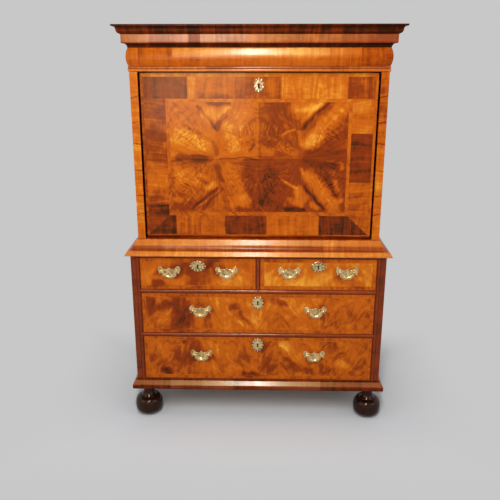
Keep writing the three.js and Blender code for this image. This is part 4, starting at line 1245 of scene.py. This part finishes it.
class ESCRITOIRE_OT_drawers(bpy.types.Operator):
    """Veneered fronts of the four drawers of the base"""

    bl_idname = "escritoire.drawers"
    bl_label = "Drawer fronts"

    def execute(self, context):
        for name, (seams, tones, marks) in DRAWER_LEAVES.items():
            self.front(name, seams, tones, marks)
        return {"FINISHED"}

    def front(self, name, seams, tones, marks):
        """A softened board, with its leaves inside a pale line and a cross-grain band."""
        drawer = settings("drawer")
        low, high = box_mm(name + "_front")
        edges = (low[0], high[0], low[2], high[2])
        board = block(name + "_board", edges[:2], (low[1] + settings("walnut").thickness, high[1]), edges[2:])
        finish(soften(board, 0.6), name, walnut_solid("walnut_drawer_board", 0.3, (2, 0, 1)),
               [name + "_front"])
        band = drawer.lip + drawer.band
        line = band + drawer.feather
        leaves = []
        for outside, inside, turn, tone, figure in (
            (0.25, drawer.lip, 90, 0.24, (0.4, 0.1, 0.0)), (drawer.lip, band, 0, 0.48, (0.45, 0.2, 0.1)),
            (band, line, 45, 0.54, (0.4, 0.1, 0.0)),
        ):
            leaves += mitred_leaves(inset(edges, outside), inset(edges, inside), (turn, turn + 90) * 2, (tone,) * 4,
                                    figure, cell=60)
        x0, x1, z0, z1 = inset(edges, line)
        joints = [x0, *seams, x1]
        lively = (0.22, 0.12, 0.32) if name.startswith("short") else (0.22, 0.2, 0.42)
        for k, tone in enumerate(tones):
            odd = k % 2
            home = (joints[k + 1 - odd], low[2] - 40 * (k // 2) - 130 * (k > 2))
            leaves.append(oblong(joints[k], joints[k + 1], z0, z1, 62, tone, lively, flip=(1 - 2 * odd, 1), home=home,
                                 cell=4))
        strokes = [(*stroke[:5], DRAWER_CONTRAST * stroke[5]) for stroke in marks] + self.grime(name)
        veneered(name + "_veneer", leaves, facing_front(low[1]), name, strokes)

    def grime(self, name):
        """Dark strokes round each handle plate and escutcheon: partly old wax that has darkened there, partly painted
        shade round the brass.
        """
        strokes = []
        for brass_name, inward in (("_handle_left_plate", 20), ("_handle_right_plate", 20), ("_escutcheon", 22)):
            low, high = box_mm(name + brass_name)
            level = (low[2] + high[2]) / 2
            # Tone -0.13 round the plate: old wax and painted shade.
            strokes.append((low[0] + inward, level, high[0] - inward, level, (high[2] - low[2]) / 2 + 3, -0.13))
        return strokes


DRAWER_CONTRAST = 1.3  # the strokes of the drawers tell this much more
# Seams between the leaves of each drawer, tones of the leaves, strokes as on the fall
DRAWER_LEAVES = {
    "short_drawer_left": ([-246.0], [0.49, 0.56], [
        (-300, 690, -330, 660, 34, -0.12), (-250, 640, -180, 700, 44, -0.1), (-420, 620, -400, 616, 20, -0.2),
        (-380, 650, -340, 640, 22, 0.08), (-130, 640, -90, 650, 40, 0.12), (-460, 650, -430, 690, 30, 0.1),
        (-210, 705, -190, 715, 16, -0.16), (-330, 620, -300, 640, 20, 0.08),
    ]),
    "short_drawer_right": ([246.0], [0.7, 0.66], [
        (60, 690, 100, 700, 34, -0.04), (280, 650, 240, 630, 30, 0.1), (330, 640, 420, 620, 20, -0.12),
        (400, 700, 460, 700, 24, 0.06), (150, 630, 200, 620, 24, 0.08), (40, 660, 30, 640, 20, 0.04),
    ]),
    "middle_drawer": ([-244.0, 0.0, 88.0, 262.0], [0.47, 0.54, 0.57, 0.58, 0.52], [
        (-455, 540, -450, 525, 22, -0.2), (-440, 480, -420, 440, 30, -0.06), (-395, 515, -385, 525, 22, -0.18),
        (-400, 470, -380, 480, 34, 0.12), (-330, 540, -330, 420, 40, -0.18), (-300, 460, -300, 450, 24, -0.12),
        (-235, 540, -215, 440, 22, -0.06), (-250, 500, -250, 440, 18, 0.1), (-150, 540, -130, 420, 34, 0.06),
        (-100, 520, -90, 525, 18, -0.2), (-70, 500, -30, 440, 8, -0.14), (-90, 470, -60, 430, 6, 0.12),
        (-50, 520, 10, 440, 26, 0.1), (60, 545, 120, 535, 14, -0.16), (80, 480, 110, 440, 24, -0.06),
        (150, 520, 220, 500, 30, 0.08), (300, 500, 440, 470, 50, -0.06), (420, 450, 440, 460, 12, 0.1),
        (330, 530, 350, 520, 20, 0.06), (380, 440, 400, 430, 10, 0.12),
    ]),
    "lower_drawer": ([-246.0, 0.0, 88.0, 262.0], [0.44, 0.48, 0.48, 0.52, 0.49], [
        (-420, 330, -410, 300, 34, 0.08), (-400, 220, -380, 212, 20, -0.24), (-300, 360, -260, 340, 26, -0.12),
        (-260, 250, -200, 240, 30, 0.1), (-180, 330, -140, 300, 40, 0.08), (-330, 290, -290, 270, 34, -0.08),
        (-60, 214, -10, 206, 14, -0.24), (30, 330, 50, 240, 30, -0.08), (110, 350, 120, 330, 20, 0.18),
        (120, 260, 160, 240, 24, -0.12), (200, 230, 220, 226, 16, -0.12), (150, 300, 180, 290, 24, 0.1),
        (300, 340, 330, 300, 30, -0.06), (350, 260, 380, 250, 18, 0.12), (430, 330, 440, 230, 24, -0.04),
        (270, 240, 300, 220, 20, -0.08), (-120, 230, -100, 240, 22, 0.1),
    ]),
}


class ESCRITOIRE_OT_feet(bpy.types.Operator):
    """Four turned and ebonised bun feet"""

    bl_idname = "escritoire.feet"
    bl_label = "Bun feet"

    def execute(self, context):
        foot = settings("foot")
        radius, height = 59.5, 139.7
        rows = [
            (0, 0, 0), (0, 0.34, 0), (0, 0.96, 0.05, 0.99, 0.24), (0, 1.04, 0.62, 0.56, 0.585),
            (0, 0.6, 0.6, 0.55, 0.625), (0, 0.4, 0.68, 0.37, 0.8), (0, 0.37, 1),
        ]
        bun, _ = profile(rows, radius, height, 0, 14)
        for name in ("foot_front_left", "foot_front_right", "foot_rear_left", "foot_rear_right"):
            low, high = box_mm(name)
            centre = (low + high) / 2
            section = np.vstack([bun, [[15, height], [15, high[2]], [0, high[2]]]])
            item = turned(name + "_bun", section, (centre[0], centre[1], 0), 2, foot.sides)
            finish(item, "root", plain("ebonised", tuple(foot.colour), 0.12, 0.25, 40, 0.24), [name])
        return {"FINISHED"}


class ESCRITOIRE_OT_brasses(bpy.types.Operator):
    """Handles and escutcheons: chased plates, turned posts, cast bails and pierced keyholes"""

    bl_idname = "escritoire.brasses"
    bl_label = "Brasses"

    def execute(self, context):
        for drawer in ("short_drawer_left", "short_drawer_right", "middle_drawer", "lower_drawer"):
            for side in ("left", "right"):
                self.handle(drawer, "%s_handle_%s" % (drawer, side), side)
        for name, kind in ESCUTCHEONS.items():
            self.escutcheon(name, *ESCUTCHEON_KINDS[kind])
        return {"FINISHED"}

    def handle(self, drawer, name, side):
        """Plate and posts that ride on the drawer, and the bail that swings between the posts."""
        low, high = box_mm(name + "_plate")
        centre, level = (low[0] + high[0]) / 2, low[2] + 35
        neck, ball, reach = 3.0, 4.5, 9.6
        half_rim, _ = profile(PLATE_ROWS, 46.5, 53, -35, 10)
        rim = np.vstack([half_rim, (half_rim * [-1, 1])[1:-1][::-1]]) + [centre, level]
        plate = soften(extruded(name + "_sheet", rim, 1, (high[1], high[1] - 1.6)), 0.55, 3)
        finish(plate, drawer, brass("brass_plate", 0.6, 0.12), [name + "_plate"])
        rows = [(0, 0), (5.6, 0), (5.6, 2.1), (5.2, 2.7), (3.6, 3.0), (neck, 4.4)]
        rows += [(ball * math.sin(a), reach - ball * math.cos(a))
                 for a in np.linspace(math.asin(neck / ball), math.pi, 16)]
        posts = [
            turned(name + "_post", rows, (centre + sign * 30.5, high[1], level), 1, 32, -1) for _, sign in LEFT_RIGHT
        ]
        finish(joined(name + "_posts", posts), drawer, post_brass())
        self.bail(name, "%s_bail_%s" % (drawer, side), centre, high[1] - reach, level)

    def bail(self, name, body, centre, axis, level):
        """A crescent: an oval carried round half an ellipse, thickest at its middle, leaning back there."""
        stations, sides, apart = 49, 20, 23
        a = np.linspace(0, math.pi, stations)[:, None]
        round_it = np.linspace(0, 2 * math.pi, sides, endpoint=False)[None, :]
        swell = np.sin(a)
        radius, depth = 2.4 + 2.8 * swell**2, 2.4 + 1.0 * swell**2
        reach = apart + np.cos(round_it) * radius
        drop = 25.8 + np.cos(round_it) * radius
        points = np.stack([
            centre - reach * np.cos(a), axis + 4.3 * swell + np.sin(round_it) * depth, level - drop * swell,
        ], -1)
        faces = list(grid_faces(stations, sides, wrap_columns=True))
        caps = [list(range(sides)), list(range((stations - 1) * sides, stations * sides))]
        loop = close_up(build(name + "_loop", points.reshape(-1, 3), faces + caps))
        rows = [(0, 0), (1.6, 0), (1.6, 6.6), (1.1, 7.3), (0, 7.3)]
        pins = [
            turned(name + "_pin", rows, (centre + sign * apart, axis, level), 0, 16, sign) for _, sign in LEFT_RIGHT
        ]
        finish(joined(name + "_crescent", [loop, *pins]), body, post_brass(), [name + "_bail"])

    def escutcheon(self, name, lobes, scallop, power, opening, metal):
        """A pierced plate: every ring lies between the keyhole and a scalloped edge, with a bead in each lobe.

        Edge = half size times (1.01 - s + s cos(lobes times angle)), drawn in at the corners where the power is
        under 2. Height = a rim of beads and a raised middle.
        """
        low, high = box_mm(name)
        half = (high - low)[[0, 2]] / 2
        centre = (high + low) / 2
        count = 30 * lobes
        angle = np.linspace(0, 2 * math.pi, count, endpoint=False)
        way = np.stack([np.sin(angle), np.cos(angle)], -1)
        pinch = (np.abs(way) ** power).sum(1) ** (-1 / power)
        swell = 1.01 - scallop + scallop * np.cos(lobes * angle)
        edge = way * half * (pinch * swell)[:, None]
        hole = opening * way * self.keyhole(way)[:, None]
        share = np.linspace(0, 1, 22)[:, None, None]
        flat = (1 - share) * hole + share * edge
        far = np.linalg.norm(flat / half, axis=2) / pinch
        beads = np.exp(-(((far - 0.82) / 0.1) ** 2)) * (0.5 + 0.5 * np.cos(lobes * angle)) ** 2
        height = 1.25 + 0.75 * beads + 0.35 * np.exp(-((far / 0.5) ** 4)) - 0.55 * (far > 0.985 * swell)
        hollow = np.clip(1 - 2.2 * beads, 0, 1) * np.exp(-(((far - 0.84) / 0.09) ** 2)) * 0.95
        flat = np.concatenate([flat, flat[[-1, 0]]])
        height, hollow = (np.concatenate([values, np.zeros((2, count))]) for values in (height, hollow))
        places = np.stack([centre[0] + flat[..., 0], high[1] - height, centre[2] + flat[..., 1]], -1)
        faces = grid_faces(len(places), count, wrap_rows=True, wrap_columns=True)
        body = name.replace("_escutcheon", "")
        plate = build(name + "_plate", places.reshape(-1, 3), faces, None, {"hollow": ("POINT", hollow.ravel())})
        finish(close_up(plate, 50), body, brass(*metal), [name])
        # A thin dark disc behind the keyhole is painted shade: it makes the keyhole look deep and dark.
        rows = [(0, 0), (10.6, 0), (10.6, 0.12), (10.2, 0.2), (0, 0.2)]
        dark = turned(name + "_lock", rows, (centre[0], high[1] - 0.1, centre[2] - 1.2), 1, 40, -1)
        rows = [(0, -0.5), (1.15, -0.5), (1.15, 0.2), (0.7, 0.45), (0, 0.5)]
        pins = [
            turned(name + "_pin", rows, (centre[0] + x * half[0], high[1] - 1.3, centre[2] + z * half[1]), 1, 16, -1)
            for x, z in ((-0.55, 0.42), (0.55, 0.42), (-0.36, -0.62), (0.36, -0.62))
        ]
        finish(joined(name + "_dark", [dark, *pins]), body, iron())

    def keyhole(self, way):
        """Distance from the middle to the keyhole's edge: a round of 3.3 above a slot that widens downwards."""
        across, up = way.T
        radius, rise, least = 3.3, 2.4, 1e-3
        round_edge = rise * up + np.sqrt(radius**2 - (rise * across) ** 2)
        slope = np.abs(across) - 0.14 * np.abs(up)
        side = np.where(slope > least, 1.9 / np.maximum(slope, least), 1 / least)
        slot = np.where(up < 0, np.minimum(side, 7.4 / np.maximum(-up, least)), 0)
        return np.maximum(round_edge, slot)


PLATE_ROWS = [
    (0, 0, 0), (0, 0.34, 0, 0.5, 0.14), (0, 0.66, 0.26, 0.64, 0.46), (0, 0.76, 0.46, 0.86, 0.37),
    (0, 0.96, 0.4, 0.88, 0.47), (0, 0.86, 0.54, 0.96, 0.6), (0, 1.08, 0.86, 0.84, 0.99), (0, 0.66, 1.05, 0.58, 0.88),
    (0, 0.48, 0.76, 0.26, 0.77), (0, 0.16, 0.78, 0.12, 0.83), (0, 0.06, 0.88, 0, 0.88),
]
ESCUTCHEONS = {
    "fall_escutcheon": "fall", "short_drawer_left_escutcheon": "oval", "short_drawer_right_escutcheon": "oval",
    "middle_drawer_escutcheon": "round", "lower_drawer_escutcheon": "round",
}
# Lobes, depth of the scallops, power of the outline, size of the keyhole, and name, wear and age of the brass
ESCUTCHEON_KINDS = {
    # The fall's escutcheon is of the pale brass, partly painted highlight.
    "fall": (10, 0.06, 2.0, 1.45, ("brass_silvered", 0.4, 0.2, True)),
    "oval": (12, 0.03, 1.55, 1.25, ("brass_oval", 0.6, 0.14)),
    "round": (12, 0.06, 2.0, 1.25, ("brass_escutcheon", 0.5, 0.04)),
}


class ESCRITOIRE_OT_interior(bpy.types.Operator):
    """Behind the fall: edge facings and arches of the nest, small drawers with knobs, quadrant stays"""

    bl_idname = "escritoire.interior"
    bl_label = "Interior"

    def execute(self, context):
        dress("pigeonhole_nest", walnut_solid("walnut_nest", 0.5, (0, 2, 1), 0.4))
        self.facings()
        for name in ("lower_left", "lower_centre", "lower_right", "upper_left", "upper_right"):
            self.small_drawer("small_drawer_" + name)
        for side, sign in LEFT_RIGHT:
            self.stay(side, sign)
        self.lock()
        return {"FINISHED"}

    def facings(self):
        """Edges of the nest's boards, and over every opening a spandrel between its arch and a level line."""
        low, high = box_mm("pigeonhole_nest")
        wall, figure = 8, (0.5, 0.15, 0.05)
        uprights = (low[0], low[0] + wall, -151.47, -143.47, 143.47, 151.47, high[0] - wall, high[0])
        foot, lower, upper = low[2] + wall, (low[2] + 96, low[2] + 104), (low[2] + 192, low[2] + 200)
        head, top = (high[2] - 182, high[2] - 174), high[2] - wall
        leaves = [oblong(x0, x1, low[2], high[2], 0, 0.66, figure) for x0, x1 in zip(uprights[::2], uprights[1::2])]
        bays = list(zip(uprights[1::2], uprights[2::2]))
        arches = [bays[1]]
        for x0, x1 in bays:
            levels = [(low[2], foot), lower, head, (top, high[2])]
            if (x0, x1) != bays[1]:
                levels.append(upper)
                width = (x1 - x0 - 2 * wall) / 3
                for k in range(3):
                    left = x0 + k * (width + wall)
                    arches.append((left, left + width))
                    if k:
                        leaves.append(oblong(left - wall, left, upper[1], head[0], 0, 0.62, figure))
            leaves += [oblong(x0, x1, z0, z1, 90, 0.64, figure) for z0, z1 in levels]
        veneered("nest_edges", leaves, facing_front(low[1] - 0.7), "root")
        items = [self.spandrel("arch_%d" % k, *span, head[0], low[1]) for k, span in enumerate(arches)]
        finish(joined("nest_arches", items), "root", walnut_solid("walnut_arch", 0.62, (2, 0, 1)))

    def spandrel(self, name, x0, x1, head, front):
        """Between the half round z = head - radius + sqrt(radius^2 - x^2) and the level line above it."""
        radius = (x1 - x0) / 2 - 0.6
        angle = np.linspace(math.pi, 0, 49)
        across = (x0 + x1) / 2 + radius * np.cos(angle)
        lower = head - radius - 1.2 + radius * np.sin(angle)
        outline = list(zip(across, lower)) + [(x1 - 0.2, lower[-1]), (x1 - 0.2, head - 0.2), (x0 + 0.2, head - 0.2),
                                              (x0 + 0.2, lower[0])]
        return extruded(name, outline, 1, (front - 0.6, front + 2.4))

    def small_drawer(self, name):
        """Front with a banded face, a tray of thin oak behind it, and a turned brass knob."""
        low, high = box_mm(name)
        edges = (low[0], high[0], low[2], high[2])
        front, inner = low[1] + 15, low[1] + 27
        board = soften(block(name + "_board", edges[:2], (front + 0.7, inner), edges[2:]), 0.4)
        finish(board, name, walnut_solid("walnut_small_board", 0.4, (2, 0, 1)), [name])
        side, upright = 6, (low[2], high[2] - 4)
        within = (low[0] + side, high[0] - side)
        walls = [
            block(name + "_left", (low[0], within[0]), (inner, high[1]), upright),
            block(name + "_right", (within[1], high[0]), (inner, high[1]), upright),
            block(name + "_back", within, (high[1] - side, high[1]), upright),
            block(name + "_bottom", within, (inner, high[1] - side), (low[2], low[2] + 5)),
        ]
        finish(joined(name + "_tray", walls), name, oak("lining_small", (2, 0, 1), DRAWER_OAK))
        band, line = 9, 11.5
        leaves = []
        for outside, inside, tone, turn in ((0.3, band, 0.46, 0), (band, line, 0.75, 45)):
            leaves += mitred_leaves(inset(edges, outside), inset(edges, inside), (turn, turn + 90) * 2, (tone,) * 4,
                                    (0.4, 0.15, 0.05), cell=60)
        x0, x1, z0, z1 = inset(edges, line)
        middle = (low[0] + high[0]) / 2
        for flip, span in ((1, (x0, middle)), (-1, (middle, x1))):
            leaves.append(oblong(*span, z0, z1, 60, 0.6, (0.3, 0.25, 0.4), flip=(flip, 1), home=(middle, low[2]),
                                 cell=30))
        veneered(name + "_veneer", leaves, facing_front(front), name)
        rows, _ = profile(KNOB_ROWS, 8, 15.4, -0.4, 10)
        knob = turned(name + "_turned", rows, (middle, front, (low[2] + high[2]) / 2), 1, 40, -1)
        finish(knob, name, post_brass())

    def stay(self, side, sign):
        """A quadrant about the pivot line, with its foot screwed to the fall and a lug at its tail."""
        name = "stay_" + side
        low, high = box_mm(name)
        outer = sign * max(abs(low[0]), abs(high[0])) - sign * 11
        radius, half_width, half_lug, thick = 230, 6, 4, 3
        end = math.pi / 2 + math.asin((45 + 1.2 + 4 - 29) / radius)
        rim = self.sector(radius, half_width, np.linspace(math.asin(13.3 / radius), end, 72))
        rim[:, 0] = np.maximum(rim[:, 0], low[1])
        arc = extruded(name + "_arc", rim, 0, sorted((outer - sign * thick, outer)))
        lug_rim = self.sector(radius, -half_width, np.array([end - half_lug / radius, end + half_lug / radius]))
        lug = extruded(name + "_lug", lug_rim, 0, sorted((outer - sign * thick, outer + sign * 11)))
        middle = self.round_the_pivot(radius, math.asin(13 / radius))[1]
        foot = block(name + "_foot", (outer, outer - sign * 9), (low[1], low[1] + thick), (middle - 30, middle + 30))
        quadrant = soften(joined(name + "_quadrant", [arc, lug, foot]), 0.5)
        finish(quadrant, "fall", brass("brass_stay", 0.4), [name])
        head = [(0, -0.5), (3.2, -0.5), (3.2, 0.3), (2.4, 0.7), (0, 0.9)]
        screws = [
            turned(name + "_screw", head, (outer - sign * 5.2, low[1] + thick, middle + rise), 1, 28, 1)
            for rise in (-22, 22)
        ]
        finish(joined(name + "_screws", screws), "fall", post_brass())

    def sector(self, radius, half_width, angle):
        """Outline of a strip about the pivot line: out at radius + half width and back at radius - half width."""
        return np.vstack([
            self.round_the_pivot(radius + half_width, angle), self.round_the_pivot(radius - half_width, angle[::-1]),
        ])

    def round_the_pivot(self, radius, angle):
        """Place in depth and height at a radius from the pivot line, with the angle taken from upright."""
        return FALL_PIVOT + radius * np.stack([np.sin(angle), np.cos(angle)], -1)

    def lock(self):
        """Lock plate let into the inner face of the fall, and its screws."""
        back, top = FALL_HIGH[1], FALL_HIGH[2]
        face = back + 1.0
        plate = soften(block("fall_lock_plate", (-38, 38), (back - 0.4, face), (top - 62, top - 0.4)), 0.5)
        head = [(0, -0.5), (3.4, -0.5), (3.4, 0.3), (2.5, 0.8), (0, 1.0)]
        screws = [
            turned("fall_lock_screw", head, (x, face, z), 1, 28, 1) for x in (-30, 30) for z in (top - 54, top - 9)
        ]
        finish(plate, "fall", brass("brass_stay", 0.4))
        finish(joined("fall_lock_screws", screws), "fall", post_brass())


KNOB_ROWS = [
    (0, 0, 0), (0, 0.62, 0), (0, 0.6, 0.08, 0.34, 0.14), (0, 0.3, 0.3, 0.42, 0.42), (0, 1, 0.46, 1, 0.7),
    (0, 0.98, 0.94, 0.3, 0.98), (0, 0.1, 1, 0, 1),
]
STEPS = [
    ESCRITOIRE_OT_studio, ESCRITOIRE_OT_carcase, ESCRITOIRE_OT_mouldings, ESCRITOIRE_OT_fall, ESCRITOIRE_OT_drawers,
    ESCRITOIRE_OT_feet, ESCRITOIRE_OT_brasses, ESCRITOIRE_OT_interior,
]


class ESCRITOIRE_PT_panel(bpy.types.Panel):
    """Lists the steps that finish the escritoire"""

    bl_label = "Walnut Escritoire"
    bl_idname = "ESCRITOIRE_PT_panel"
    bl_space_type = "VIEW_3D"
    bl_region_type = "UI"
    bl_category = "Escritoire"

    def draw(self, context):
        for item in STEPS:
            self.layout.operator(item.bl_idname)


CLASSES = [*SETTINGS.values(), *STEPS, ESCRITOIRE_PT_panel]


def register():
    for item in CLASSES:
        bpy.utils.register_class(item)
    for name, kind in SETTINGS.items():
        setattr(bpy.types.Scene, "escritoire_" + name, PointerProperty(type=kind))


def unregister():
    for name in SETTINGS:
        delattr(bpy.types.Scene, "escritoire_" + name)
    for item in reversed(CLASSES):
        bpy.utils.unregister_class(item)


def main():
    register()
    bpy.ops.escritoire.studio()
    bpy.ops.escritoire.carcase()
    bpy.ops.escritoire.mouldings()
    bpy.ops.escritoire.fall()
    bpy.ops.escritoire.drawers()
    bpy.ops.escritoire.feet()
    bpy.ops.escritoire.brasses()
    bpy.ops.escritoire.interior()


if __name__ == "__main__":
    main()
